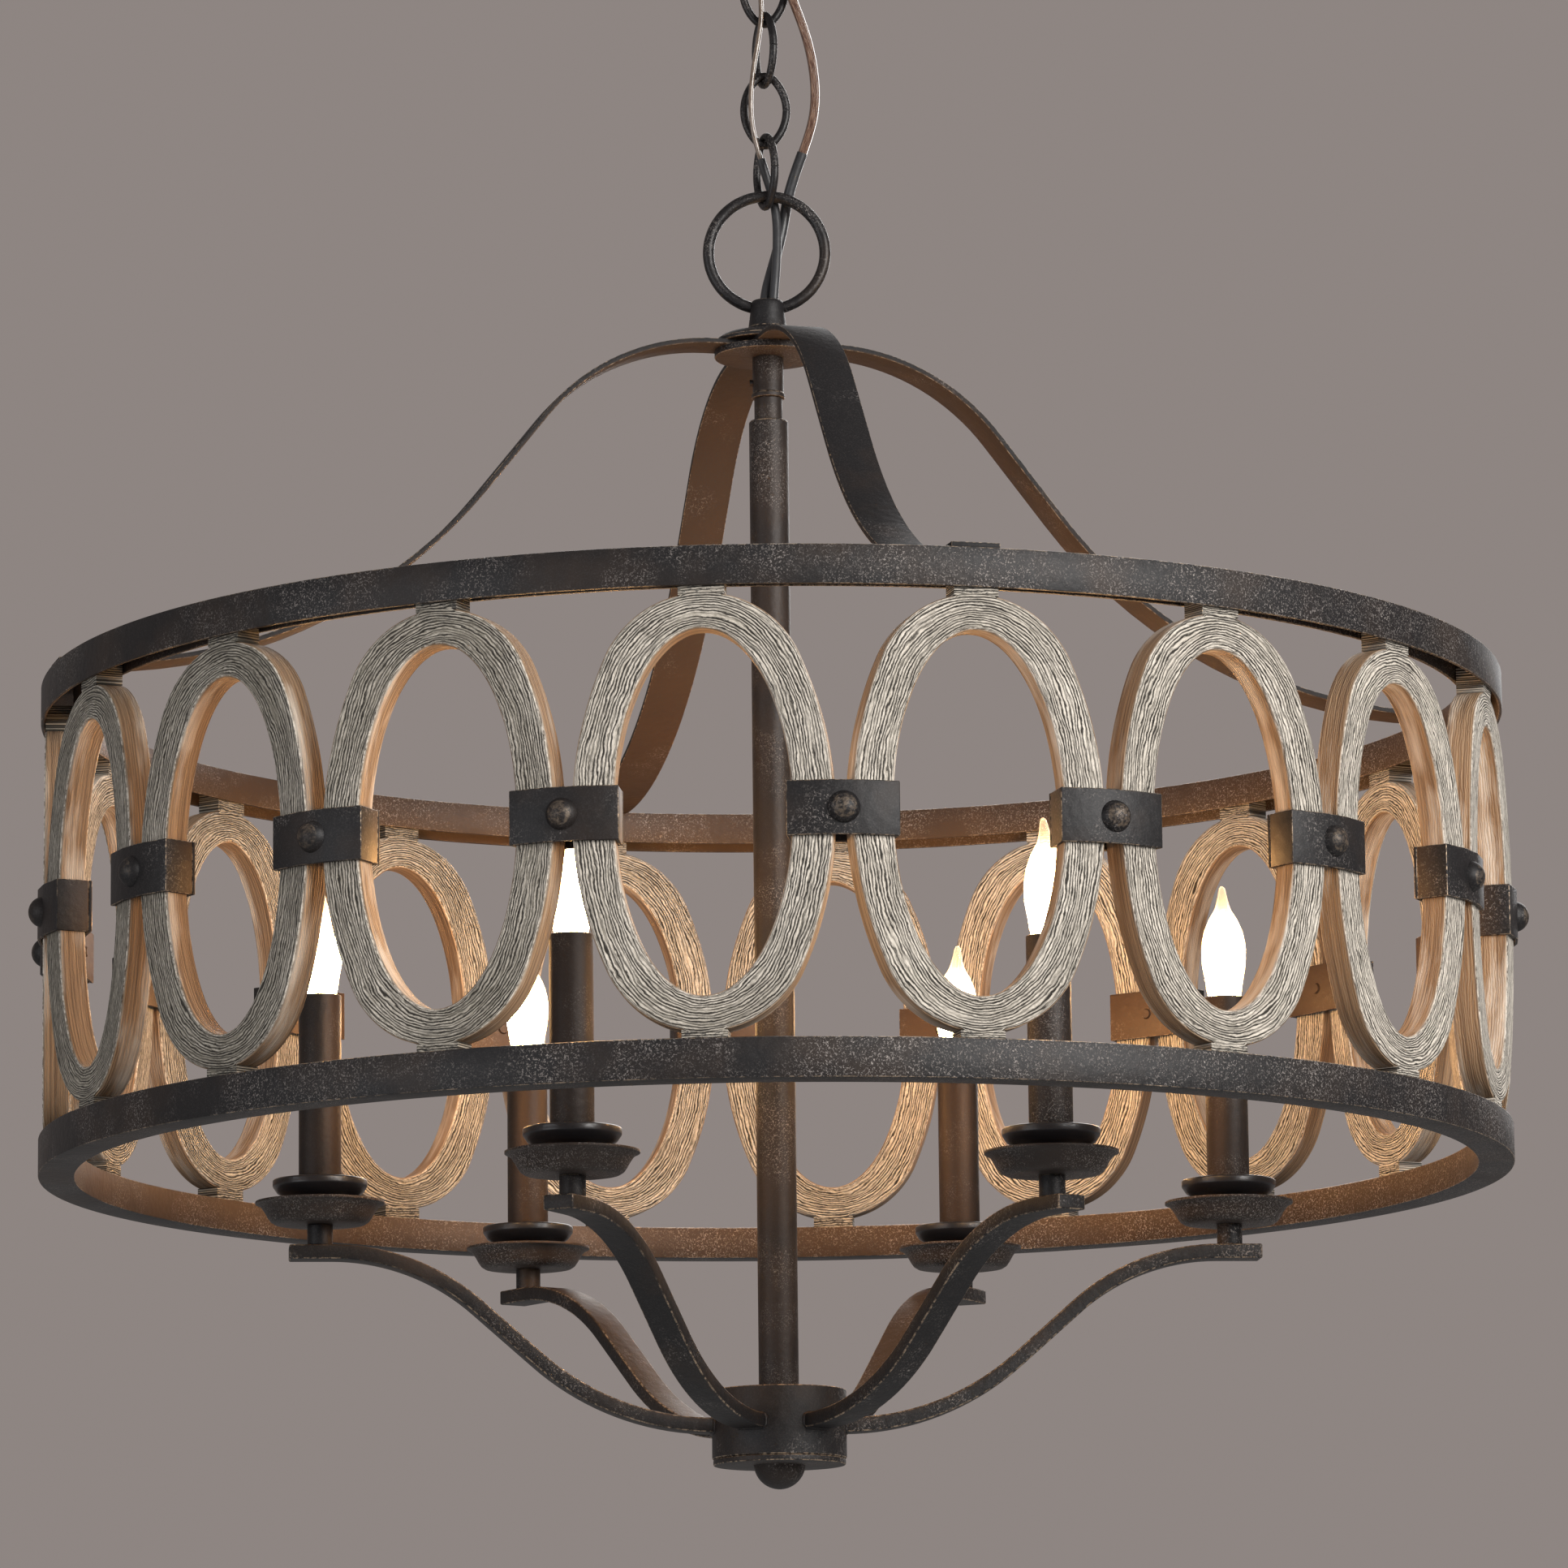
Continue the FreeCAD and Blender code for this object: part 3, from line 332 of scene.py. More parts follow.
class Finish:
    """One material and the nodes in it."""

    def __init__(self, name):
        self.material = bpy.data.materials.new(name)
        self.material.use_nodes = True
        self.tree = self.material.node_tree
        self.tree.nodes.clear()

    def feed(self, socket, value):
        """Link a value to a socket, or set the socket to a number or colour."""
        if isinstance(value, Value):
            self.tree.links.new(value.socket, socket)
        elif hasattr(value, "__len__") and socket.type == "RGBA":
            socket.default_value = (*value, 1)[:4]
        else:
            socket.default_value = value

    def node(self, kind, settings=None, inputs=None, out=0):
        """Add a node, with its settings first and its inputs after them."""
        node = self.tree.nodes.new(kind)
        for name, value in (settings or {}).items():
            setattr(node, name, value)
        for name, value in (inputs or {}).items():
            self.feed(node.inputs[name], value)
        return Value(self, node.outputs[out])

    def place(self):
        """Object coordinates in metres."""
        return self.node("ShaderNodeTexCoord", out="Object")

    def scaled(self, vector, scale, offset=(0, 0, 0)):
        """A vector stretched and moved."""
        return self.node("ShaderNodeMapping", None, {"Vector": vector, "Location": offset, "Scale": scale})

    def cloud(self, vector, scale, detail=3.0, rough=0.55):
        """Soft noise from 0 to 1."""
        return self.node("ShaderNodeTexNoise", None,
                         {"Vector": vector, "Scale": scale, "Detail": detail, "Roughness": rough}, "Fac")

    def cells(self, vector, scale):
        """Distance to the nearest of scattered points."""
        return self.node("ShaderNodeTexVoronoi", {"feature": "SMOOTH_F1"},
                         {"Vector": vector, "Scale": scale, "Smoothness": 0.6}, "Distance")

    def attribute(self, name, out="Fac"):
        """Named attribute of the mesh."""
        return self.node("ShaderNodeAttribute", {"attribute_name": name}, None, out)

    def mix(self, factor, first, second):
        """Colour between two colours."""
        node = self.tree.nodes.new("ShaderNodeMix")
        node.data_type = "RGBA"
        self.feed(node.inputs[0], factor)
        self.feed(node.inputs[6], first)
        self.feed(node.inputs[7], second)
        return Value(self, node.outputs[2])

    def bump(self, height, depth):
        """Normal from a height from 0 to 1 that stands for a depth in metres."""
        return self.node("ShaderNodeBump", None, {"Height": height, "Strength": 1.0, "Distance": depth})

    def surface(self, **inputs):
        """Finish the material with one principled shader. Underscores in names stand for spaces."""
        named = {name.replace("_", " "): value for name, value in inputs.items()}
        shader = self.node("ShaderNodeBsdfPrincipled", None, named, "BSDF")
        output = self.tree.nodes.new("ShaderNodeOutputMaterial")
        self.feed(output.inputs["Surface"], shader)
        return self.material


def iron_finish(name, look, fleck_share=0.5, brown_share=0.5, grain=1.0, gloss=0.0, painted_bulb_light=1.0):
    """Near black iron with painted brown bulb light on the faces towards the lights and painted sheen towards
    +X, winding pale flecks where it is rubbed, and worn edges.
    """
    finish = Finish(name)
    place = finish.place()
    patches = finish.cloud(place, 19, 4)
    # Real rubbing from noise, plus painted sheen: it grows towards +X, where the lamp on that side gives a
    # sheen
    right = finish.node("ShaderNodeSeparateXYZ", None, {0: place}, "X")
    rubs_and_right_sheen = finish.cloud(place, 24, 5, 0.6) + right * 0.2
    winding = finish.cloud(place, 430 * grain, 2, 0.6)
    broken = finish.cloud(place, 760 * grain, 2, 0.6)
    dents = finish.cells(place, 210 * grain)
    wear = finish.attribute("wear")
    brown = patches.between(0.7 - 0.4 * brown_share, 0.92 - 0.4 * brown_share)
    base = finish.mix(brown, look.slate, look.brown)
    facing = finish.node("ShaderNodeTexCoord", out="Normal")
    away = finish.scaled(place, (1, 1, 1), (0, 0, -OVAL_MIDDLE))
    outward = finish.node("ShaderNodeVectorMath", {"operation": "DOT_PRODUCT"}, {0: facing, 1: away}, "Value")
    # Painted light: faces turned towards the axis take the brown of the bulbs' glow
    inside = outward * -7
    base = finish.mix((inside.limited() * (0.55 + patches * 0.6) * painted_bulb_light).limited(), base, look.inside)
    mottle = finish.cloud(place, 1150 * grain, 2, 0.6).between(0.5, 0.72)
    base = finish.mix(mottle * 0.6, base, look.mottle)
    near = (1 - (winding - 0.5).maths("ABSOLUTE") * 20).limited()
    rubbed_low = 0.7 - 0.3 * fleck_share
    fleck = near * broken.between(0.47, 0.56) * rubs_and_right_sheen.between(rubbed_low - 0.1, rubbed_low + 0.26)
    dust = broken.between(0.64, 0.72) * rubs_and_right_sheen.between(rubbed_low - 0.1, rubbed_low + 0.1)
    pale = (fleck + dust * 0.5).limited()
    chipped = finish.cloud(place, 420, 4, 0.7).between(0.44, 0.6)
    rubbed = wear.between(0.25, 0.8) * chipped * rubs_and_right_sheen.between(0.36, 0.52)
    colour_out = finish.mix(pale * 0.85, base, look.fleck)
    colour_out = finish.mix((rubbed * 0.85).limited(), colour_out, look.worn)
    height = dents * 0.5 + pale * 0.4 + broken * 0.25 + patches * 0.3
    return finish.surface(
        Base_Color=colour_out,
        Metallic=(pale * 0.35 + rubbed * 0.4 + 0.3).limited(),
        Roughness=(0.5 - gloss - rubbed * 0.14 - pale * 0.08 + patches * 0.1).limited(),
        Normal=finish.bump(height, 0.00042 / grain),
    )


# How far a full step of shade moves an oval's grain in the noise, and two colours of the wood
SHADE_STEP = 3.7
DARK_SIDE = (0.17, 0.1, 0.055)
TAB_SPOTS = (0.02, 0.02, 0.02)


def wood_finish(name, look):
    """Weathered wood whose grain runs round the oval, painted lighter towards +X as if lit from that side. The
    grain map is in metres along and across the bar.
    """
    finish = Finish(name)
    grain = finish.node("ShaderNodeUVMap", {"uv_map": "grain"}, None, "UV")
    shade = finish.attribute("shade")
    side = finish.attribute("side")
    wear = finish.attribute("wear")
    tab = finish.attribute("tab")
    apart = finish.node("ShaderNodeCombineXYZ", None, {"Z": shade * SHADE_STEP})
    seeded = finish.node("ShaderNodeVectorMath", {"operation": "ADD"}, {0: grain, 1: apart})
    pitch = 1 / look.grain_pitch
    wander = finish.cloud(finish.scaled(seeded, (24, 70, 1)), 1, 2)
    ripple = finish.cloud(finish.scaled(seeded, (150, 420, 1)), 1, 3)
    across = finish.node("ShaderNodeSeparateXYZ", None, {0: grain}, "Y")
    line = across + wander * 0.0065 + ripple * 0.0021
    wave = (line * (math.tau * pitch)).maths("SINE") * 0.5 + 0.5
    place = finish.node("ShaderNodeCombineXYZ", None, {"Y": line, "Z": shade * SHADE_STEP})
    placed = finish.node("ShaderNodeVectorMath", {"operation": "MULTIPLY_ADD"},
                         {0: grain, 1: (1, 0, 0), 2: place})
    chosen = finish.cloud(finish.scaled(placed, (34, pitch * 0.9, 1)), 1, 3, 0.65)
    fine = finish.cloud(finish.scaled(placed, (90, pitch * 3.2, 1)), 1, 2, 0.6)
    broad = finish.cloud(finish.scaled(seeded, (14, 70, 1)), 1, 3)
    ticks = finish.cloud(finish.scaled(seeded, (360, 900, 1)), 1, 2, 0.7)
    groove = (1 - wave.between(0.06, 0.6)) * chosen.between(0.32, 0.52) + fine.between(0.53, 0.68) * 0.6
    # Real whitewash from noise, plus painted light: it grows towards +X, as if lit by the lamp on that side
    right = finish.node("ShaderNodeSeparateXYZ", None, {0: finish.place()}, "X")
    whitewash_and_right_light = broad * 0.9 + ticks * 1.1 + wave * 0.3 + shade * 0.25 + right * 0.55 - 0.9
    washed_and_right_lit = finish.mix(whitewash_and_right_light.limited(), look.grey, look.whitewash_and_right_light)
    front = finish.mix(groove.limited(), washed_and_right_lit, look.groove)
    stripes = finish.cloud(finish.scaled(seeded, (14, 900, 1)), 1, 2)
    sides = finish.mix(stripes.between(0.35, 0.62), DARK_SIDE, look.raw)
    sides = finish.mix(broad.between(0.5, 0.72) * 0.7, sides, look.whitewash_and_right_light)
    colour_out = finish.mix(side, front, sides)
    colour_out = finish.mix(wear.between(0.3, 0.9) * ticks.between(0.4, 0.62), colour_out, look.whitewash_and_right_light)
    spots = tab * ticks.between(0.52, 0.6) * 0.8
    colour_out = finish.mix(spots.limited(), colour_out, TAB_SPOTS)
    height = wave * 0.45 + fine * 0.3 + ticks * 0.35 - groove * 0.4
    return finish.surface(
        Base_Color=colour_out,
        Roughness=(0.74 + groove * 0.12).limited(),
        Normal=finish.bump(height * (1 - side * 0.6), 0.0009),
    )


def plain_finish(name, base, rough, metal=0.0, coat=0.0, depth=0.00006, scale=900, spread=0.25):
    """Even finish with fine texture and a slight change of tone."""
    finish = Finish(name)
    place = finish.place()
    fine = finish.cloud(place, scale, 2)
    broad = finish.cloud(place, 35, 3)
    tone = (broad * 0.6 + fine * 0.4).between(0.3, 0.7)
    low = [channel * (1 - spread) for channel in base]
    high = [min(1.0, channel * (1 + spread)) for channel in base]
    return finish.surface(
        Base_Color=finish.mix(tone, low, high),
        Metallic=metal,
        Roughness=(tone * 0.12 + (rough - 0.06)).limited(),
        Coat_Weight=coat,
        Normal=finish.bump(fine, depth),
    )


def glass_finish(name):
    """Thin clear glass that is clearest where it is seen straight on."""
    finish = Finish(name)
    facing = finish.node("ShaderNodeLayerWeight", None, {"Blend": 0.35}, "Facing")
    return finish.surface(
        Base_Color=(0.95, 0.92, 0.88),
        Roughness=0.05,
        IOR=1.45,
        Coat_Weight=0.5,
        Alpha=(facing * 0.5 + 0.16).limited(),
    )


def flame_finish(name, light):
    """White hot glow inside the glass. The attribute glow is 1 in the body and 0 at the tip."""
    finish = Finish(name)
    glow = finish.attribute("glow")
    return finish.surface(
        Base_Color=(0.9, 0.8, 0.6),
        Roughness=0.5,
        Alpha=glow.between(0.0, 0.5),
        Emission_Color=finish.mix(glow.between(0.0, 0.6), (0.05, 0.02, 0.006), light.glow_colour),
        Emission_Strength=light.glow,
    )


def cord_finish(name, base, strand):
    """Clear insulation over fine strands that wind round the cord. The map is round and along, in metres."""
    finish = Finish(name)
    wind = finish.node("ShaderNodeUVMap", {"uv_map": "wind"}, None, "UV")
    strands = finish.cloud(finish.scaled(wind, (2600, 160, 1)), 1, 2)
    tone = strands.between(0.4, 0.62)
    return finish.surface(
        Base_Color=finish.mix(tone, strand, base),
        Roughness=0.2,
        Coat_Weight=0.8,
        Normal=finish.bump(strands, 0.00012),
    )


def make_finishes(settings):
    """All materials by name."""
    iron = settings.iron
    return {
        "iron": iron_finish("hammered_iron", iron, 0.35),
        "speckled": iron_finish("speckled_iron", iron, 0.75, 0.6, 1.2),
        "strap": iron_finish("strap_iron", iron, 0.15, 0.5, gloss=-0.14),
        "wire": iron_finish("bright_wire", iron, 0.6, 0.4, 1.4, gloss=0.12, painted_bulb_light=0),
        "pan": iron_finish("brown_pan", iron, 0.85, 1.1, 1.4),
        "candle": iron_finish("candle_iron", iron, 0.4, 0.95, 1.5),
        "smooth": plain_finish("smooth_black", iron.smooth, 0.36, 0.2, 0.15),
        "bronze": iron_finish("warm_bronze", iron, 0.4, 1.1, 1.4),
        "wood": wood_finish("weathered_wood", settings.wood),
        "zinc": plain_finish("zinc_steel", (0.55, 0.54, 0.52), 0.42, 0.9, 0.0, 0.00008, 500),
        "socket": plain_finish("socket_plastic", (0.03, 0.03, 0.031), 0.5),
        "brass": plain_finish("lamp_base", (0.62, 0.5, 0.28), 0.32, 0.95),
        "glass": glass_finish("bulb_glass"),
        "flame": flame_finish("bulb_glow", settings.light),
        "clear_cord": cord_finish("clear_cord", (0.23, 0.175, 0.135), (0.06, 0.038, 0.026)),
        "copper_cord": cord_finish("copper_cord", (0.2, 0.12, 0.08), (0.06, 0.024, 0.015)),
        "sleeve": plain_finish("shrink_sleeve", (0.026, 0.027, 0.03), 0.45, 0.0, 0.1, 0.0002, 260),
    }


FINISHES = {}


# Mesh helpers

# Angles above which a crease is shaded sharp, and above which an edge is rounded
CREASE = math.radians(40)
WIRE_CREASE = math.radians(50)
ROUNDED_ABOVE = math.radians(28)
# Scale of the hammer marks' noise, and the noise value that leaves the wire's radius as it is
MARK_SCALE = 220.0
MARK_LEVEL = 0.62


def lathe_shell(shell, outline, centre=(0.0, 0.0), segments=64):
    """Turn a closed (radius, height) outline round an upright axis, into a bmesh."""
    rings = []
    for step in range(segments):
        angle = math.tau * step / segments
        cos, sin = math.cos(angle), math.sin(angle)
        rings.append([shell.verts.new((centre[0] + r * cos, centre[1] + r * sin, z)) for r, z in outline])
    count = len(outline)
    for step in range(segments):
        first, second = rings[step], rings[(step + 1) % segments]
        for index in range(count):
            other = (index + 1) % count
            if outline[index][0] == 0 and outline[other][0] == 0:
                continue
            shell.faces.new((first[index], second[index], second[other], first[other]))
    bmesh.ops.remove_doubles(shell, verts=shell.verts, dist=1e-7)


def swept_shell(shell, path, width, thickness):
    """Flat bar along a path of (outward, height, slope) at azimuth 0, into a bmesh."""
    rings = []
    for outward, height, slope in path:
        up = Vector((0, math.sin(slope), math.cos(slope))) * (thickness / 2)
        middle = Vector((0, -outward, height))
        side = Vector((width / 2, 0, 0))
        corners = (middle + side + up, middle - side + up, middle - side - up, middle + side - up)
        rings.append([shell.verts.new(corner) for corner in corners])
    for first, second in zip(rings, rings[1:]):
        for index in range(4):
            other = (index + 1) % 4
            shell.faces.new((first[index], first[other], second[other], second[index]))
    shell.faces.new(rings[0])
    shell.faces.new(reversed(rings[-1]))


def prism_shell(shell, outline, low, high):
    """Upright prism over a closed outline of (x, y) points, into a bmesh."""
    bottom = [shell.verts.new((x, y, low)) for x, y in outline]
    top = [shell.verts.new((x, y, high)) for x, y in outline]
    count = len(outline)
    for index in range(count):
        other = (index + 1) % count
        shell.faces.new((bottom[index], bottom[other], top[other], top[index]))
    shell.faces.new(bottom)
    shell.faces.new(top)


def soften(shell, edge, steps=3, sharp=ROUNDED_ABOVE):
    """Round the sharp edges and mark the middle of each rounding in the attribute wear."""
    bmesh.ops.recalc_face_normals(shell, faces=shell.faces)
    wear = shell.verts.layers.float.get("wear") or shell.verts.layers.float.new("wear")
    edges = [e for e in shell.edges if len(e.link_faces) == 2 and e.calc_face_angle(0) > sharp]
    if edges and edge > 0:
        made = bmesh.ops.bevel(shell, geom=edges, offset=edge, segments=steps, profile=0.5, affect="EDGES",
                               clamp_overlap=True)
        round_faces = set(made["faces"])
        for vert in shell.verts:
            if vert.link_faces and all(face in round_faces for face in vert.link_faces):
                vert[wear] = 1.0
    bmesh.ops.recalc_face_normals(shell, faces=shell.faces)


def to_mesh(shell, name):
    """Mesh from a bmesh, shaded smooth except at its creases."""
    mesh = bpy.data.meshes.new(name)
    shell.to_mesh(mesh)
    shell.free()
    mesh.shade_smooth()
    mesh.set_sharp_from_angle(angle=CREASE)
    return mesh


def add_piece(name, mesh, body, finish=None, nodes=()):
    """Put a finished mesh in the scene, on its body and in place of its nodes."""
    piece = bpy.data.objects.new(name, mesh)
    bpy.context.scene.collection.objects.link(piece)
    if finish is not None:
        mesh.materials.clear()
        mesh.materials.append(FINISHES[finish])
    if nodes:
        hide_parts(*nodes)
    if body is not None:
        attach(piece, body)
    return piece


def sleeve_outline(inner, outer, low, high):
    """(radius, height) outline of a plain round sleeve or disc."""
    return [(inner, high), (inner, low), (outer, low), (outer, high)]


def softened(name, edge, steps, build, *shape):
    """Mesh with rounded edges, from one of the shell functions above and its arguments."""
    shell = bmesh.new()
    build(shell, *shape)
    soften(shell, edge, steps)
    return to_mesh(shell, name)


def sharp_lathe(name, outline, edge, centre=(0.0, 0.0), segments=64, steps=3):
    """Mesh of a turned piece with rounded edges."""
    return softened(name, edge, steps, lathe_shell, outline, centre, segments)


def arc_points(centre, radius, start, end, steps):
    """(x, z) points on an arc, with angles in radians."""
    return [(centre[0] + radius * math.cos(start + (end - start) * i / steps),
             centre[1] + radius * math.sin(start + (end - start) * i / steps)) for i in range(steps + 1)]


# Geometry Nodes

def new_tree(name, inputs):
    """Geometry node tree with a geometry input and output and the named inputs."""
    tree = bpy.data.node_groups.new(name, "GeometryNodeTree")
    tree.interface.new_socket("Geometry", in_out="INPUT", socket_type="NodeSocketGeometry")
    for label, kind in inputs:
        tree.interface.new_socket(label, in_out="INPUT", socket_type=kind)
    tree.interface.new_socket("Geometry", in_out="OUTPUT", socket_type="NodeSocketGeometry")
    return tree, tree.nodes.new("NodeGroupInput"), tree.nodes.new("NodeGroupOutput")


def wired(tree, kind, settings, links):
    """Add a node with its settings, then its links or values by input."""
    node = tree.nodes.new(kind)
    for name, value in settings.items():
        setattr(node, name, value)
    for key, value in links.items():
        if isinstance(value, bpy.types.NodeSocket):
            tree.links.new(value, node.inputs[key])
        else:
            node.inputs[key].default_value = value
    return node


def copies_tree():
    """Copies a mesh round the upright axis, gives each copy its own shade, and sets the material."""
    tree, source, sink = new_tree("Copies round the axis", [
        ("Count", "NodeSocketInt"), ("First azimuth", "NodeSocketFloat"), ("Step", "NodeSocketFloat"),
        ("Seed", "NodeSocketInt"), ("Material", "NodeSocketMaterial")])
    get = source.outputs
    points = wired(tree, "GeometryNodeMeshLine", {}, {"Count": get["Count"], "Offset": (0, 0, 0)})
    index = wired(tree, "GeometryNodeInputIndex", {}, {})
    turn = wired(tree, "ShaderNodeMath", {"operation": "MULTIPLY_ADD"},
                 {0: index.outputs[0], 1: get["Step"], 2: get["First azimuth"]})
    spin = wired(tree, "ShaderNodeCombineXYZ", {}, {"Z": turn.outputs[0]})
    copies = wired(tree, "GeometryNodeInstanceOnPoints", {},
                   {"Points": points.outputs[0], "Instance": get["Geometry"], "Rotation": spin.outputs[0]})
    shade = wired(tree, "FunctionNodeRandomValue", {"data_type": "FLOAT"}, {"Seed": get["Seed"]})
    store = wired(tree, "GeometryNodeStoreNamedAttribute", {"data_type": "FLOAT", "domain": "INSTANCE"},
                  {"Geometry": copies.outputs[0], "Name": "shade", "Value": shade.outputs[1]})
    real = wired(tree, "GeometryNodeRealizeInstances", {}, {"Geometry": store.outputs[0]})
    dressed = wired(tree, "GeometryNodeSetMaterial", {},
                    {"Geometry": real.outputs[0], "Material": get["Material"]})
    tree.links.new(dressed.outputs[0], sink.inputs[0])
    return tree


def wire_tree():
    """Turns a curve into hammered wire with closed ends, and sets the material."""
    tree, source, sink = new_tree("Hammered wire", [
        ("Radius", "NodeSocketFloat"), ("Sides", "NodeSocketInt"), ("Hammer", "NodeSocketFloat"),
        ("Mark scale", "NodeSocketFloat"), ("Material", "NodeSocketMaterial")])
    get = source.outputs
    outline = wired(tree, "GeometryNodeCurvePrimitiveCircle", {"mode": "RADIUS"},
                    {"Resolution": get["Sides"], "Radius": get["Radius"]})
    tube = wired(tree, "GeometryNodeCurveToMesh", {},
                 {"Curve": get["Geometry"], "Profile Curve": outline.outputs[0], "Fill Caps": True})
    marks = wired(tree, "ShaderNodeTexNoise", {}, {"Scale": get["Mark scale"], "Detail": 2.0})
    centred = wired(tree, "ShaderNodeMath", {"operation": "SUBTRACT"}, {0: marks.outputs[0], 1: MARK_LEVEL})
    depth = wired(tree, "ShaderNodeMath", {"operation": "MULTIPLY"}, {0: centred.outputs[0], 1: get["Hammer"]})
    normal = wired(tree, "GeometryNodeInputNormal", {}, {})
    push = wired(tree, "ShaderNodeVectorMath", {"operation": "SCALE"},
                 {0: normal.outputs[0], "Scale": depth.outputs[0]})
    shaped = wired(tree, "GeometryNodeSetPosition", {},
                   {"Geometry": tube.outputs[0], "Offset": push.outputs[0]})
    smooth = wired(tree, "GeometryNodeSetShadeSmooth", {},
                   {"Geometry": shaped.outputs[0], "Shade Smooth": True})
    dressed = wired(tree, "GeometryNodeSetMaterial", {},
                    {"Geometry": smooth.outputs[0], "Material": get["Material"]})
    tree.links.new(dressed.outputs[0], sink.inputs[0])
    return tree


def through_tree(data, name, tree, **values):
    """Run mesh or curve data through a node tree and return the result as a plain mesh."""
    carrier = bpy.data.objects.new(name, data)
    bpy.context.scene.collection.objects.link(carrier)
    modifier = carrier.modifiers.new("shape", "NODES")
    modifier.node_group = tree
    for item in tree.interface.items_tree:
        label = item.name.replace(" ", "_").lower()
        if item.in_out == "INPUT" and label in values:
            modifier[item.identifier] = values[label]
    ready = carrier.evaluated_get(bpy.context.evaluated_depsgraph_get())
    mesh = bpy.data.meshes.new_from_object(ready)
    mesh.name = name
    carrier.modifiers.remove(modifier)
    bpy.data.objects.remove(carrier)
    return mesh


TREES = {}


def copied(mesh, name, count, first, step, finish, seed=1):
    """Copies of a mesh round the axis as one mesh."""
    result = through_tree(mesh, name, TREES["copies"], count=count, first_azimuth=first, step=step, seed=seed,
                          material=FINISHES[finish])
    result.set_sharp_from_angle(angle=CREASE)
    return result


def add_ring(base, name, at, finish, nodes=()):
    """One piece of copies of a base mesh round the axis, on the fixture."""
    mesh = copied(base, name, at["count"], at["first"], at["step"], finish, SEEDS[name])
    add_piece(name, mesh, "fixture", None, nodes)


def add_numbered(base, name, node, count, first, step, finish):
    """One piece of its own for each numbered node round the axis, on the fixture."""
    for number in range(count):
        own = "%s_%d" % (name, number + 1)
        mesh = copied(base, own, 1, first + number * step, step, finish, number)
        add_piece(own, mesh, "fixture", None, ["%s_%d" % (node, number + 1)])


def wire_mesh(points, name, radius, finish, hammer, closed=False, sides=20):
    """Wire through points as one mesh."""
    curve = bpy.data.curves.new(name, "CURVE")
    curve.dimensions = "3D"
    spline = curve.splines.new("POLY")
    spline.points.add(len(points) - 1)
    for point, place in zip(spline.points, points):
        point.co = (*place, 1)
    spline.use_cyclic_u = closed
    mesh = through_tree(curve, name, TREES["wire"], radius=radius, sides=sides, hammer=hammer,
                        mark_scale=MARK_SCALE, material=FINISHES[finish])
    mesh.set_sharp_from_angle(angle=WIRE_CREASE)
    return mesh


# Pieces

class Builder:
    """What all operators share: they build their pieces from the scene's settings."""

    def execute(self, context):
        self.build(context.scene.chandelier)
        return {"FINISHED"}


class MakeHoops(Builder, bpy.types.Operator):
    """Build the two channel hoops"""
    bl_idname = "chandelier.make_hoops"
    bl_label = "Make hoops"

    def build(self, settings):
        size = settings.hoop
        for node, opens_down in (("top_ring", True), ("bottom_ring", False)):
            low, high = node_span(node)
            outer, inner = RING_RADIUS, RING_RADIUS - size.width
            mouth, back = (low, high - size.wall) if opens_down else (high, low + size.wall)
            closed = high if opens_down else low
            inner_mouth = low + size.inner_short if opens_down else high - size.inner_short
            outline = [(outer, closed), (outer, mouth), (outer - size.wall, mouth), (outer - size.wall, back),
                       (inner + size.wall, back), (inner + size.wall, inner_mouth), (inner, inner_mouth),
                       (inner, closed)]
            mesh = sharp_lathe(node + "_shell", outline, size.edge, segments=size.segments, steps=2)
            add_piece(node + "_hoop", mesh, "fixture", "speckled", [node])


def oval_edges(size, turn):
    """Inner and outer edge points of an oval's front where both edges face the same way."""
    facing = math.atan2(size.half_width * math.sin(turn), size.half_height * math.cos(turn))
    cos, sin = math.cos(facing), math.sin(facing)
    across, up = size.half_width - size.bar_side, size.half_height - size.bar_end
    reach = math.hypot(across * cos, up * sin)
    inner = Vector((across ** 2 * cos / reach, 0, up ** 2 * sin / reach))
    end_up = size.half_height - size.end_radius
    side = ((size.half_width ** 2 + size.half_height ** 2 - 2 * size.half_height * size.end_radius)
            / (2 * (size.half_width - size.end_radius)))
    shift = side - size.half_width
    if abs(sin) * shift > abs(cos) * end_up:
        return inner, Vector((size.end_radius * cos, 0, size.end_radius * sin + math.copysign(end_up, sin)))
    return inner, Vector((side * cos - math.copysign(shift, cos), 0, side * sin))


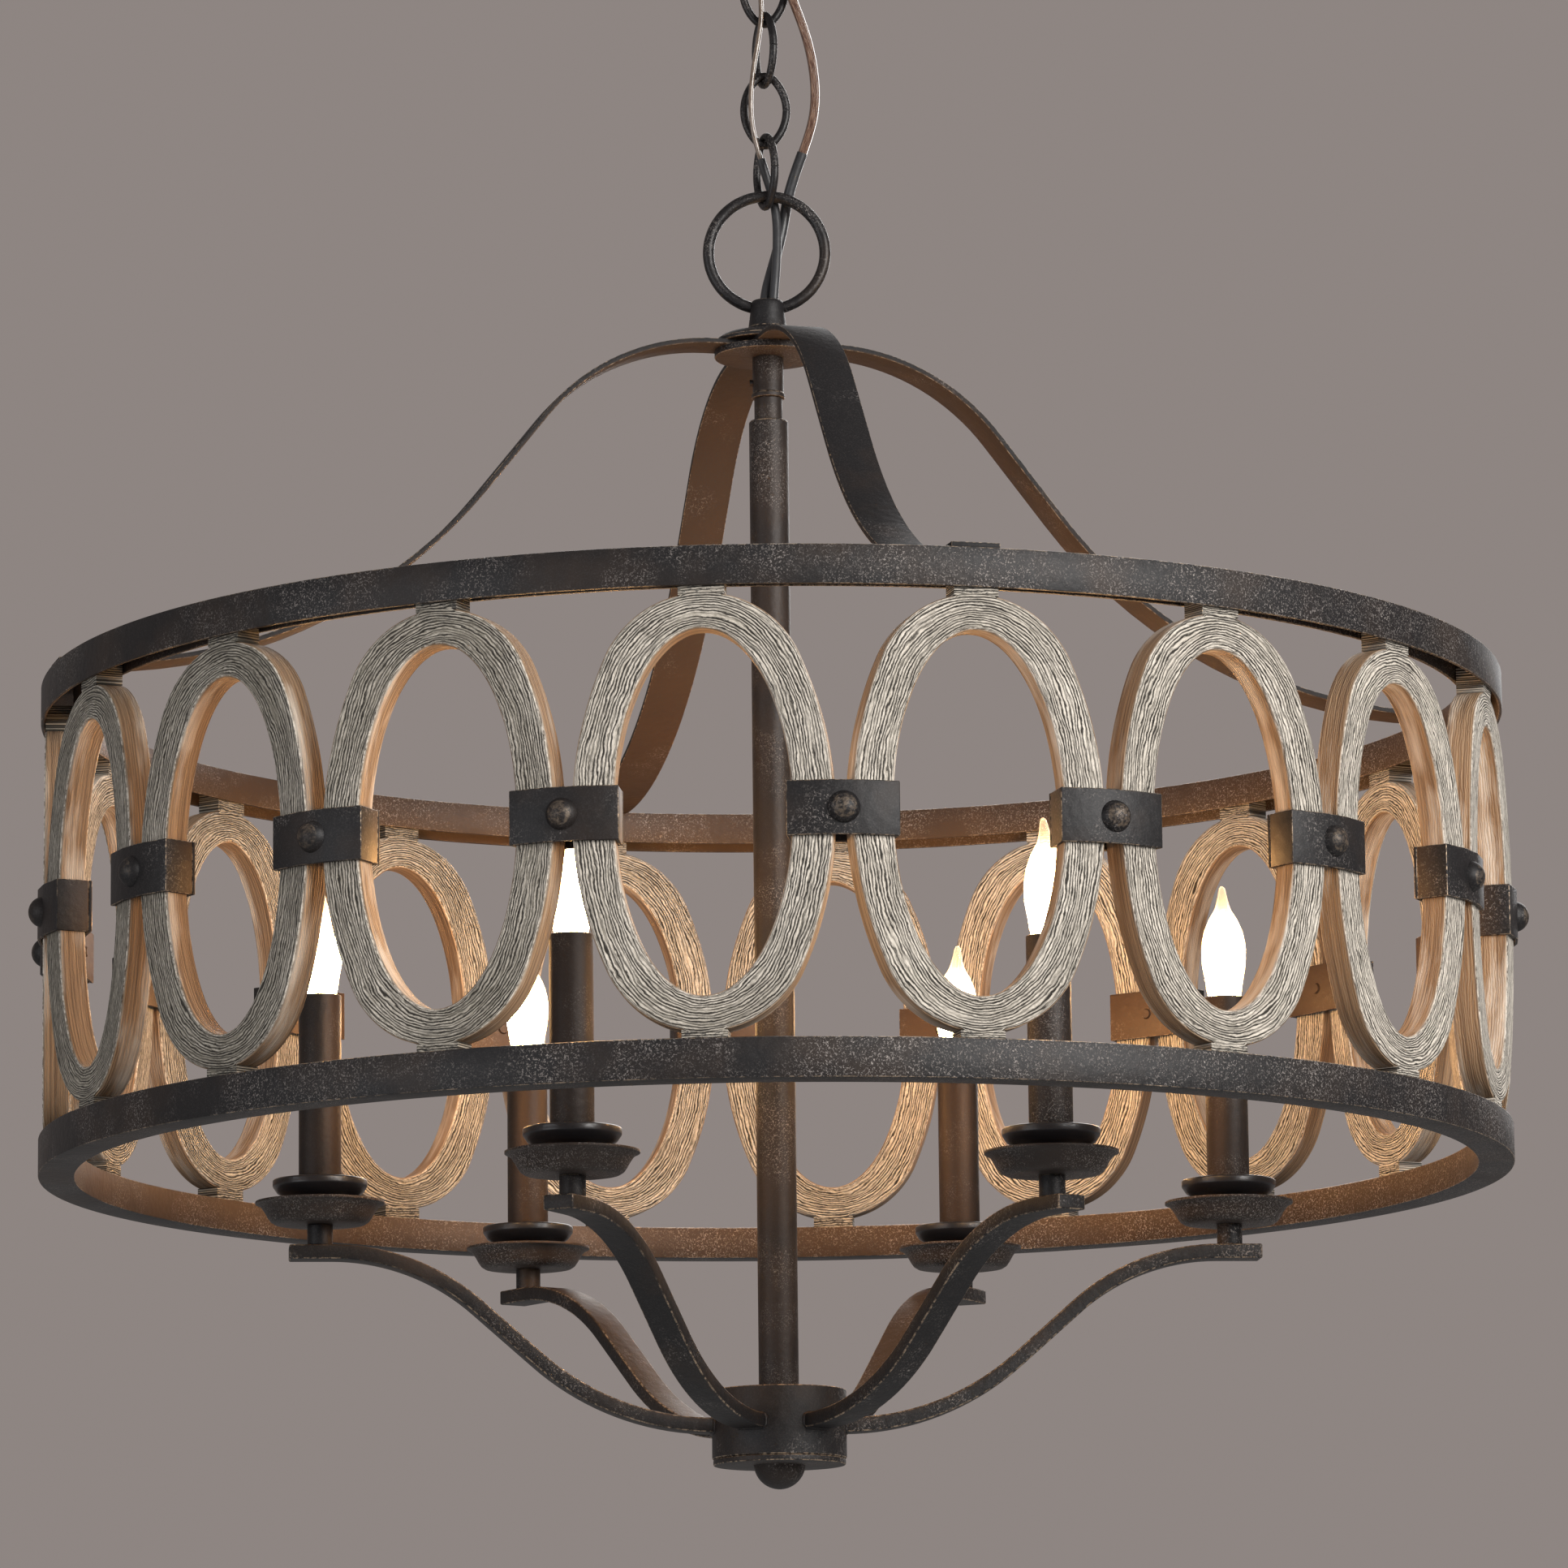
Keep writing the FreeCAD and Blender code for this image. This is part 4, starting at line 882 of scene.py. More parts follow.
def oval_base(size):
    """One wooden oval at azimuth 0 with its grain map, side, tab and wear attributes."""
    shell = bmesh.new()
    grain = shell.loops.layers.uv.new("grain")
    side = shell.verts.layers.float.new("side")
    tab = shell.verts.layers.float.new("tab")
    wear = shell.verts.layers.float.new("wear")
    front = -(RING_RADIUS - size.set_back)
    around, across = 240, 12
    bar = (size.bar_side + size.bar_end) / 2
    section = [(i / across, 0.0, 0.0, i / across) for i in range(across + 1)]
    section += [(1.0, depth, 1.0, 1.0 + depth * 0.8) for depth in (0.07, 0.5, 0.93)]
    section += [(1 - i / across, 1.0, 0.0, 1.8 + i / across) for i in range(across + 1)]
    section += [(0.0, depth, 1.0, 3.6 - depth * 0.8) for depth in (0.93, 0.5, 0.07)]
    edges = [oval_edges(size, math.tau * step / around) for step in range(around)]
    middles = [(inner + outer) / 2 for inner, outer in edges]
    along = [0.0]
    for step in range(around):
        along.append(along[-1] + (middles[(step + 1) % around] - middles[step]).length)
    rings = []
    for step, (inner, outer) in enumerate(edges):
        width = (outer - inner).length
        tabbed = abs(outer.x) < size.tab_width / 2
        ring = []
        for share, depth_share, side_share, map_share in section:
            on_edge = side_share == 0.0 and share in (0.0, 1.0) and not (tabbed and share == 1.0)
            keep = size.edge / width if on_edge else 0.0
            place = inner.lerp(outer, keep + share * (1 - 2 * keep))
            spot = Vector((along[step] * 60, map_share * 9, depth_share * 5))
            rough = size.relief * (noise.noise(spot) - 0.25)
            depth = depth_share * size.thickness
            if side_share:
                place += (outer - inner).normalized() * (rough if share == 0.0 else -abs(rough)) * 0.5
            elif not tabbed:
                depth += max(0.0, rough) * (1 if depth_share == 0 else -1)
            vert = shell.verts.new((place.x, front + depth, OVAL_MIDDLE + place.z))
            vert[side] = side_share
            vert[wear] = 1.0 if on_edge else 0.0
            vert[tab] = 0.5 if tabbed and share > 0.5 else 0.0
            ring.append(vert)
        rings.append(ring)
    count = len(section)
    for step in range(around):
        first, second = rings[step], rings[(step + 1) % around]
        for index in range(count):
            other = (index + 1) % count
            face = shell.faces.new((first[index], first[other], second[other], second[index]))
            low_v, high_v = section[index][3], section[other][3] if other else 3.6
            for loop, (u, v) in zip(face.loops, ((along[step], low_v), (along[step], high_v),
                                                 (along[step + 1], high_v), (along[step + 1], low_v))):
                loop[grain].uv = (u, v * bar)
    bmesh.ops.recalc_face_normals(shell, faces=shell.faces)
    add_tabs(shell, size, front, grain, tab, along, bar)
    return to_mesh(shell, "oval_base")


def add_tabs(shell, size, front, grain, tab, along, bar):
    """Tabs at the top and bottom of an oval, whose grain follows the oval's own."""
    skin = size.edge / 12
    for way in (-1, 1):
        inner = OVAL_MIDDLE + way * (size.half_height - size.edge)
        outer = OVAL_MIDDLE + way * (size.half_height + size.tab_reach)
        made = bmesh.ops.create_cube(shell, size=1.0)
        for vert in made["verts"]:
            x = math.copysign(size.tab_width / 2, vert.co.x)
            y = front + (skin if vert.co.y < 0 else size.thickness - skin)
            vert.co = (x, y, max(inner, outer) if vert.co.z > 0 else min(inner, outer))
            vert[tab] = 1.0
        start = along[len(along) // 4 if way > 0 else 3 * (len(along) // 4)]
        for face in {face for vert in made["verts"] for face in vert.link_faces}:
            for loop in face.loops:
                reach = abs(loop.vert.co.z - OVAL_MIDDLE) - (size.half_height - size.bar_end)
                loop[grain].uv = (start - way * loop.vert.co.x, reach / size.bar_end * bar)


class MakeOvals(Builder, bpy.types.Operator):
    """Build the wooden ovals, three for each node"""
    bl_idname = "chandelier.make_ovals"
    bl_label = "Make ovals"

    def build(self, settings):
        base = oval_base(settings.oval)
        trio = OVAL_COUNT // 6
        for group in range(6):
            first = FIRST_RIVET + (group * trio + 0.5) * OVAL_STEP
            name = "wooden_ovals_%d" % (group + 1)
            mesh = copied(base, name, trio, first, OVAL_STEP, "wood", group + 3)
            add_piece(name, mesh, "fixture", None, ["ovals_%d" % (group + 1)])


def clamp_place(side, distance, along):
    """(x, y) place in a clamp at azimuth 0, from the distance and the place along the oval beside it."""
    half = OVAL_STEP / 2
    radial = distance * math.cos(half) + along * math.sin(half)
    across = side * (distance * math.sin(half) - along * math.cos(half))
    return across, -radial


# Wear on a rivet's head, and the share of its height above which it starts
HEAD_WEAR = 0.4
WORN_HEAD_START = 0.55


class MakeClamps(Builder, bpy.types.Operator):
    """Build the clamps, their back plates and the rivets"""
    bl_idname = "chandelier.make_clamps"
    bl_label = "Make clamps"

    def build(self, settings):
        size, oval = settings.clamp, settings.oval
        half = OVAL_STEP / 2
        level = size.height / 2
        front = RING_RADIUS - oval.set_back
        back_face = front - oval.thickness
        inner_edge = oval.half_width - oval.bar_side
        hole = oval.half_height - oval.bar_end
        near = inner_edge * math.sqrt(1 - (level / hole) ** 2) - size.gap
        far = near - size.sheet
        corner = -clamp_place(1, front, oval.half_width)[1]
        flat_in = corner + size.gap
        flat_out = flat_in + size.sheet
        back = -clamp_place(1, back_face, inner_edge)[1] - size.gap - size.sheet / 2

        def leg_end(side, along):
            return clamp_place(side, (back - along * math.sin(half)) / math.cos(half), along)

        flat = size.flat / 2
        skin = front + size.gap
        outline = [clamp_place(1, skin + size.sheet, far), (flat, -flat_out), (-flat, -flat_out),
                   clamp_place(-1, skin + size.sheet, far), leg_end(-1, far), leg_end(-1, near),
                   clamp_place(-1, skin, near), (-flat, -flat_in), (flat, -flat_in), clamp_place(1, skin, near),
                   leg_end(1, near), leg_end(1, far)]
        low, high = OVAL_MIDDLE - level, OVAL_MIDDLE + level
        base = softened("clamp_base", size.edge, 3, prism_shell, outline, low, high)
        add_ring(base, "clamps", AT_RIVETS, "iron", ["clamp_straps"])
        width = 2 * abs(leg_end(1, far)[0])
        plate = [(-width / 2, -back), (width / 2, -back), (width / 2, -(back - size.sheet)),
                 (-width / 2, -(back - size.sheet))]
        base = softened("plate_base", size.edge, 3, prism_shell, plate, low, high)
        add_ring(base, "clamp_backs", AT_RIVETS, "iron", ["clamp_plates"])
        rivet = self.rivet(size, flat_out, back - size.sheet)
        add_ring(rivet, "ball_rivets", AT_RIVETS, "iron", ["rivets"])

    def rivet(self, size, flat_out, plate_back):
        """Ball headed rivet along -Y with its flat inner end."""
        radius = (size.ball_radius ** 2 + size.ball_height ** 2) / (2 * size.ball_height)
        reach = math.asin(size.ball_radius / radius)
        outline = []
        for x, z in arc_points((0, size.ball_height - radius), radius, math.pi / 2, math.pi / 2 - reach, 10):
            outline.append((max(0.0, x), z))
        outline[0] = (0.0, size.ball_height)
        shank, seat = size.ball_radius / 4, plate_back - flat_out
        outline += [(shank, 0.0), (shank, seat), (size.tail_radius, seat),
                    (size.tail_radius * 0.8, seat - size.tail_height), (0.0, seat - size.tail_height)]
        shell = bmesh.new()
        lathe_shell(shell, outline, segments=28)
        wear = shell.verts.layers.float.new("wear")
        for vert in shell.verts:
            vert[wear] = HEAD_WEAR if vert.co.z > size.ball_height * WORN_HEAD_START else 0.0
        turn = Matrix.Translation((0, -flat_out, OVAL_MIDDLE)) @ Matrix.Rotation(math.pi / 2, 4, "X")
        bmesh.ops.transform(shell, matrix=turn, verts=shell.verts)
        bmesh.ops.recalc_face_normals(shell, faces=shell.faces)
        return to_mesh(shell, "rivet_base")


def bend_path(start, end, first_bend, last_bend, lead, tail, steps=18):
    """(outward, height, slope) points of a bar that runs level, slopes and runs level again."""
    climb = end[1] - start[1]
    way = 1 if climb > 0 else -1
    radii = first_bend + last_bend
    run, rise = end[0] - start[0], abs(climb) - radii
    slope = math.asin(radii / math.hypot(run, rise)) + math.atan2(rise, run)
    path = [(start[0] - lead, start[1], 0.0)] if lead > 0 else []
    for step in range(steps + 1):
        angle = slope * step / steps
        path.append((start[0] + first_bend * math.sin(angle),
                     start[1] + way * first_bend * (1 - math.cos(angle)), way * angle))
    for step in range(steps + 1):
        angle = slope * (1 - step / steps)
        path.append((end[0] - last_bend * math.sin(angle), end[1] - way * last_bend * (1 - math.cos(angle)),
                     way * angle))
    path.append((end[0] + tail, end[1], 0.0))
    return path


class MakeStraps(Builder, bpy.types.Operator):
    """Build the four flat straps"""
    bl_idname = "chandelier.make_straps"
    bl_label = "Make straps"

    def build(self, settings):
        size = settings.strap
        top = node_high("strap_1") - size.strap_thickness / 2
        foot = RING_TOP + size.strap_thickness / 2
        outer = RING_RADIUS - settings.hoop.wall
        path = bend_path((size.strap_flat, top), (size.strap_foot, foot), size.strap_top_bend,
                         size.strap_foot_bend, size.strap_flat - size.strap_width / 2, outer - size.strap_foot)
        base = softened("strap_base", size.edge, 2, swept_shell, path, size.strap_width, size.strap_thickness)
        add_numbered(base, "flat_strap", "strap", STRAP_COUNT, FIRST_STRAP, STRAP_STEP, "strap")


class MakeArms(Builder, bpy.types.Operator):
    """Build the six arms with the weld beads at their roots"""
    bl_idname = "chandelier.make_arms"
    bl_label = "Make arms"

    def build(self, settings):
        size = settings.strap
        low, high = node_low("arm_1") + size.arm_thickness / 2, node_high("arm_1") - size.arm_thickness / 2
        path = bend_path((size.arm_root, low), (size.arm_bend_end, high), size.arm_low_bend, size.arm_high_bend,
                         0, size.arm_tip - size.arm_bend_end)
        base = softened("arm_base", size.edge * 1.6, 3, swept_shell, path, size.arm_width, size.arm_thickness)
        add_numbered(base, "s_arm", "arm", LIGHT_COUNT, FIRST_LIGHT, LIGHT_STEP, "iron")
        self.welds(settings, low)

    def welds(self, settings, height):
        """Uneven weld beads round the roots of the arms."""
        size = settings.strap
        bead = settings.hanger.weld
        half_x, half_z = size.arm_width / 2, size.arm_thickness / 2
        points = []
        steps = 40
        for step in range(steps):
            angle = math.tau * step / steps
            cos, sin = math.cos(angle), math.sin(angle)
            x = half_x * math.copysign(abs(cos) ** 0.5, cos)
            z = half_z * math.copysign(abs(sin) ** 0.5, sin)
            radius = node_radius("hub")
            y = -math.sqrt(radius ** 2 - x ** 2)
            wobble = noise.noise(Vector((step * 0.9, 0, 0))) * bead * 0.5
            points.append((x + wobble, y, height + z + wobble))
        base = wire_mesh(points, "weld_base", bead, "iron", bead * 0.4, closed=True, sides=10)
        add_ring(base, "arm_welds", AT_LIGHTS, "iron")


class MakeHanger(Builder, bpy.types.Operator):
    """Build the hanger ring, cap, plate, coupling, neck and stem"""
    bl_idname = "chandelier.make_hanger"
    bl_label = "Make hanger"

    def build(self, settings):
        size = settings.hanger
        self.ring(size)
        self.cap(size)
        self.sleeve_piece("round_plate", "strap_plate", "speckled", size)
        self.coupling(size)
        self.sleeve_piece("stem_neck", "neck", "bronze", size)
        stem = node_radius("stem_tube")
        low, high = node_span("stem_tube")
        inner, roof = stem - size.stem_wall, high - 2 * size.stem_wall
        outline = [(size.pipe, high), (size.pipe, roof), (inner, roof), (inner, low)]
        parts = 8
        outline += [(stem, low + (high - size.edge - low) * part / parts) for part in range(parts + 1)]
        outline.append((stem - size.edge, high))
        self.turned_piece("stem", "stem_tube", "candle", outline, size)

    def turned_piece(self, name, node, finish, outline, size):
        """One turned piece in place of its node."""
        mesh = sharp_lathe(name, outline, size.edge * 0.6, segments=72)
        add_piece(name, mesh, "fixture", finish, [node])

    def sleeve_piece(self, name, node, finish, size):
        """One plain sleeve or disc in place of its node."""
        outline = sleeve_outline(size.pipe, node_radius(node), *node_span(node))
        self.turned_piece(name, node, finish, outline, size)

    def ring(self, size):
        """Hanger ring whose two ends run into the cap's boss."""
        wire = size.ring_wire / 2
        radius = size.ring_diameter / 2 - wire
        centre = node_high("hanger_ring") - size.ring_diameter / 2
        gap = math.asin((size.boss_radius * 0.8) / radius)
        steps = 110
        points = []
        for step in range(steps + 1):
            angle = -math.pi / 2 + gap + (math.tau - 2 * gap) * step / steps
            points.append((radius * math.cos(angle), 0, centre + radius * math.sin(angle)))
        mesh = wire_mesh(points, "hanging_ring", wire, "wire", wire * 0.07, sides=28)
        add_piece("hanging_ring", mesh, "fixture", None, ["hanger_ring"])

    def cap(self, size):
        """Low cap with a sloping shoulder and the boss that takes the cords."""
        low, high = node_span("top_cap")
        rim = node_radius("top_cap")
        floor = high - size.boss_depth
        outline = [(size.boss_bore, high), (size.boss_bore, floor), (size.pipe, floor), (size.pipe, low),
                   (rim, low), (rim, low + size.cap_rim), (size.cap_shoulder, low + size.cap_shoulder_rise),
                   (size.boss_radius * 1.4, low + size.cap_crown_rise * 0.95),
                   (size.boss_radius * 1.08, low + size.cap_crown_rise * 1.35),
                   (size.boss_radius * 0.97, high - size.boss_depth * 0.55),
                   (size.boss_radius * 0.97, high - size.boss_depth * 0.2), (size.boss_radius * 0.84, high)]
        self.turned_piece("flat_cap", "top_cap", "iron", outline, size)

    def coupling(self, size):
        """Coupling with a bead round its lower end."""
        low, high = node_span("coupling")
        outer = node_radius("coupling")
        body = outer - size.edge * 0.85
        outline = [(size.pipe, high), (size.pipe, low), (outer, low), (outer, low + size.bead),
                   (body, low + size.bead * 1.2), (body, high)]
        self.turned_piece("stem_coupling", "coupling", "bronze", outline, size)


class MakeHub(Builder, bpy.types.Operator):
    """Build the hub, its bottom plate and the finial"""
    bl_idname = "chandelier.make_hub"
    bl_label = "Make hub"

    def build(self, settings):
        size = settings.hanger
        radius = node_radius("hub")
        low, high = node_span("hub")
        wall = size.stem_wall * 1.7
        inner, roof = radius - wall, high - wall
        outline = [(size.pipe, high), (size.pipe, roof), (inner, roof), (inner, low), (radius, low),
                   (radius, high)]
        mesh = sharp_lathe("hub_shell", outline, size.edge, segments=96)
        add_piece("hub_shell", mesh, "fixture", "iron", ["hub"])
        outline = sleeve_outline(size.pipe, node_radius("hub_plate"), *node_span("hub_plate"))
        mesh = sharp_lathe("hub_base", outline, size.edge, segments=96)
        add_piece("hub_base", mesh, "fixture", "iron", ["hub_plate"])
        self.finial()

    def finial(self):
        """Half ball finial."""
        low, high = node_span("finial")
        wide, tall = node_radius("finial"), high - low
        radius = (wide ** 2 + tall ** 2) / (2 * tall)
        reach = math.asin(min(1.0, wide / radius))
        outline = [(0.0, high)]
        for x, z in arc_points((0, low + radius), radius, -math.pi / 2 + reach, -math.pi / 2, 14):
            outline.append((max(0.0, x), z))
        outline[-1] = (0.0, low)
        mesh = sharp_lathe("ball_finial", outline, 0, segments=48)
        add_piece("ball_finial", mesh, "fixture", "iron", ["finial"])


# Sizes of the stubs and of the bulbs' screw bases, in millimetres
STUB_RADIUS = 7.0
SCREW_BASE = 17.0
SCREW_RADIUS = 5.9
SCREW_TURNS = 6
# Shares of the pan's flare, outward and up
PAN_SHARES = [(0.22, 0.035), (0.38, 0.14), (0.5, 0.32), (0.62, 0.55), (0.76, 0.76), (0.92, 0.88), (1.0, 0.9)]
# Shares of the flame's height and of its largest radius
FLAME_SHARES = [(0.0, 0.62), (0.03, 0.73), (0.09, 0.79), (0.17, 0.85), (0.25, 0.925), (0.32, 0.98),
                (0.39, 0.998), (0.46, 1.0), (0.53, 0.95), (0.6, 0.87), (0.66, 0.745), (0.71, 0.63),
                (0.75, 0.5), (0.79, 0.38), (0.83, 0.305), (0.88, 0.24), (0.92, 0.2), (0.955, 0.17),
                (0.985, 0.12), (0.997, 0.05)]
# Share of the flame's height where its tip starts, over what share the glow fades, and each tip's lean
TIP_START = 0.5
GLOW_FADE = 0.3
FLAME_LEANS = (-0.8, 0.4, -0.6, 0.7, -0.5, 0.6)


class MakeLights(Builder, bpy.types.Operator):
    """Build the stubs, pans, cups, candle covers and bulbs"""
    bl_idname = "chandelier.make_lights"
    bl_label = "Make lights"

    def build(self, settings):
        size, pipe = settings.light, settings.hanger.pipe
        centre = (0.0, -size.circle)
        outline = sleeve_outline(pipe, STUB_RADIUS * MM, *node_span("stubs"))
        base = sharp_lathe("stub_base", outline, 0.5 * MM, centre, 32)
        add_ring(base, "light_stubs", AT_LIGHTS, "iron", ["stubs"])
        add_ring(self.pan(pipe, centre), "pans", AT_LIGHTS, "pan", ["drip_pans"])
        add_ring(self.cup(pipe, centre), "small_cups", AT_LIGHTS, "smooth", ["cups"])
        inner = size.candle_radius - size.candle_wall
        outline = sleeve_outline(inner, size.candle_radius, *node_span("candles"))
        base = sharp_lathe("candle_base", outline, 0.35 * MM, centre, 48, 2)
        add_ring(base, "candle_covers", AT_LIGHTS, "candle", ["candles"])
        for number in range(LIGHT_COUNT):
            self.bulb(size, number)

    def pan(self, bore, centre):
        """Flared pan with a rolled lip."""
        low, high = node_span("drip_pans")
        rim, base, sheet = 35.5 * MM, 22.0 * MM, 1.5 * MM
        tall = high - low
        outside = [(base, low)]
        for across, up in PAN_SHARES:
            outside.append((base + (rim - base) * across, low + tall * up))
        inside = [(r - sheet * 0.9, z + sheet) for r, z in reversed(outside[1:-1])]
        inside = [(r, min(z, high)) for r, z in inside]
        outline = [(bore, low), *outside, (rim, high), (rim - sheet * 1.6, high), *inside,
                   (base - sheet, low + sheet), (bore, low + sheet)]
        return sharp_lathe("pan_base", outline, 0.4 * MM, centre, 56, 2)

    def cup(self, bore, centre):
        """Shallow smooth cup on its foot."""
        low, high = node_span("cups")
        rim, neck, foot, sheet = 26.0 * MM, 14.0 * MM, 9.5 * MM, 1.5 * MM
        lip, cone, dish = 4.2 * MM, 8.0 * MM, 10.5 * MM
        outline = [(bore, low), (foot, low), (foot, high - lip - cone), (neck, high - lip - cone),
                   (neck + (rim - neck) * 0.45, high - lip - cone * 0.72),
                   (neck + (rim - neck) * 0.8, high - lip - cone * 0.4), (rim, high - lip * 0.9),
                   (rim, high - sheet * 0.4), (rim - sheet * 0.5, high), (rim - 2 * sheet, high),
                   (neck + sheet, high - dish), (bore, high - dish)]
        return sharp_lathe("cup_base", outline, 0.45 * MM, centre, 56, 3)

    def bulb(self, size, number):
        """Clear flame bulb whose tip leans, the glow in it, and its screw base."""
        node = "bulb_%d" % (number + 1)
        base_height, body = SCREW_BASE * MM, SCREW_RADIUS * MM
        seat = node_low(node) + base_height
        self.flame(size, number, "flame_" + node, "glass", seat, node_high(node), 1.0)
        self.flame(size, number, "glow_" + node, "flame", seat + size.glow_gap, node_high(node),
                   size.glow_share)
        thread = []
        for step in range(SCREW_TURNS * 2 + 1):
            z = seat - base_height * 0.12 - base_height * 0.66 * step / (SCREW_TURNS * 2)
            thread.append((body if step % 2 else body * 0.88, z))
        foot = seat - base_height
        outline = [(0.0, seat), (body, seat), *thread, (body * 0.75, seat - base_height * 0.9),
                   (body * 0.3, foot), (0.0, foot)]
        shell = bmesh.new()
        lathe_shell(shell, outline, (0.0, -size.circle), 28)
        self.place_bulb(shell, "screw_" + node, "brass", number)

    def flame(self, size, number, name, finish, seat, high, share):
        """Flame shape of a share of the glass's size, with its leaning tip."""
        tall = (high - seat) * (1 if share == 1 else size.glow_reach)
        radius = size.bulb_radius * share
        outline = [(0.0, seat)] + [(radius * wide, seat + tall * up) for up, wide in FLAME_SHARES]
        shell = bmesh.new()
        lathe_shell(shell, outline + [(0.0, seat + tall)], (0.0, -size.circle), 36)
        glow = shell.verts.layers.float.new("glow")
        for vert in shell.verts:
            up = (vert.co.z - seat) / (high - seat)
            vert[glow] = 1.0 - max(0.0, min(1.0, (up - TIP_START) / GLOW_FADE))
            lean = max(0.0, up - TIP_START) / (1 - TIP_START)
            vert.co.x += size.bulb_lean * lean ** 2 * FLAME_LEANS[number]
        self.place_bulb(shell, name, finish, number)

    def place_bulb(self, shell, name, finish, number):
        """Turn a bulb's shell to its light and put it on its own body."""
        node = "bulb_%d" % (number + 1)
        bmesh.ops.recalc_face_normals(shell, faces=shell.faces)
        azimuth = FIRST_LIGHT + number * LIGHT_STEP
        mesh = copied(to_mesh(shell, name + "_base"), name, 1, azimuth, 0.0, finish, number)
        add_piece(name, mesh, node, None, [node])


# Turn of each link about the upright axis, in degrees
LINK_TURNS = (0, -65, 0, -65)


class MakeChain(Builder, bpy.types.Operator):
    """Build the four open chain links"""
    bl_idname = "chandelier.make_chain"
    bl_label = "Make chain"

    def build(self, settings):
        size = settings.chain
        for number, turn in enumerate(LINK_TURNS):
            node, name = "chain_link_%d" % (number + 1), "open_link_%d" % (number + 1)
            middle = (node_low(node) + node_high(node)) / 2
            points = self.outline(size, middle, math.radians(turn))
            mesh = wire_mesh(points, name, size.wire / 2, "wire", size.hammer, sides=22)
            add_piece(name, mesh, "link_%d" % (number + 1), None, [node])

    def outline(self, size, middle, turn):
        """Centre line of an open link, from one lip of the slit round to the other."""
        half_w, half_l = (size.link_width - size.wire) / 2, (size.link_length - size.wire) / 2
        rise = half_l - size.apex
        side = (half_w ** 2 + rise ** 2 - size.apex ** 2) / (2 * (half_w - size.apex))
        shift = side - half_w
        lean = math.atan2(rise, shift)
        lip = size.slit / 2 / side
        steps = 16
        flat = arc_points((-shift, 0), side, lip, lean, steps)
        flat += arc_points((0, rise), size.apex, lean, math.pi - lean, steps)[1:]
        flat += arc_points((shift, 0), side, math.pi - lean, math.pi + lean, 2 * steps)[1:]
        flat += arc_points((0, -rise), size.apex, math.pi + lean, math.tau - lean, steps)[1:]
        flat += arc_points((-shift, 0), side, math.tau - lean, math.tau - lip, steps)[1:]
        cos, sin = math.cos(turn), math.sin(turn)
        return [(x * cos, x * sin, middle + z) for x, z in flat]


# Heights where the cords are cut, and reaches above and below a pivot for a cord and a sleeve, in millimetres
SPAN_CUTS = (-76.0, -110.0, -143.0)
CORD_BEND = 9.0
SLEEVE_BEND = 10.0
# Route points of the cords and sleeves, in millimetres
LEFT_ROUTE = [(-5.5, -5.0, -38.0), (-5.5, -5.0, -52.0), (-4.6, -5.8, -66.5), (-2.0, -6.2, -82.0),
              (-1.4, -6.2, -98.0), (-4.4, -6.3, -115.5), (-7.6, -5.9, -134.0), (-8.4, -5.6, -151.5),
              (-6.6, -4.9, -167.0), (-2.9, -1.6, -178.5)]
LEFT_SLEEVE_ROUTE = [(-2.9, -1.6, -178.5), (0.43, 1.37, -188.85), (4.4, 6.8, -200.5), (6.0, 5.6, -214.0),
                     (5.9, 2.8, -228.5), (5.2, 0.0, -242.5), (4.0, -1.8, -255.5), (3.2, -2.4, -267.5)]
RIGHT_ROUTE = [(6.5, -5.7, -38.0), (6.6, -5.7, -53.5), (10.2, -6.5, -70.5), (17.0, -6.6, -89.0),
               (23.6, -5.2, -107.5), (27.6, -3.1, -126.0), (28.6, -0.9, -144.0), (26.2, 1.2, -160.0),
               (20.8, 3.7, -174.0)]
RIGHT_SLEEVE_ROUTE = [(20.8, 3.7, -174.0), (15.4, 6.2, -188.0), (11.6, 9.2, -201.5), (9.4, 10.8, -215.0),
                      (6.2, 9.8, -229.0), (2.3, 6.9, -243.0), (-1.0, 3.9, -256.0), (-2.0, 2.9, -267.5)]


def smooth_line(route, name):
    """Points of the smooth spline through a cord's route, in metres."""
    curve = bpy.data.curves.new(name, "CURVE")
    curve.dimensions = "3D"
    spline = curve.splines.new("NURBS")
    spline.points.add(len(route) - 1)
    for point, place in zip(spline.points, route):
        point.co = (*(c * MM for c in place), 1)
    spline.order_u = 3
    spline.use_endpoint_u = True
    spline.resolution_u = 16
    carrier = bpy.data.objects.new(name, curve)
    bpy.context.scene.collection.objects.link(carrier)
    ready = carrier.evaluated_get(bpy.context.evaluated_depsgraph_get())
    mesh = bpy.data.meshes.new_from_object(ready)
    points = [vert.co.copy() for vert in mesh.vertices]
    bpy.data.objects.remove(carrier)
    bpy.data.meshes.remove(mesh)
    return points


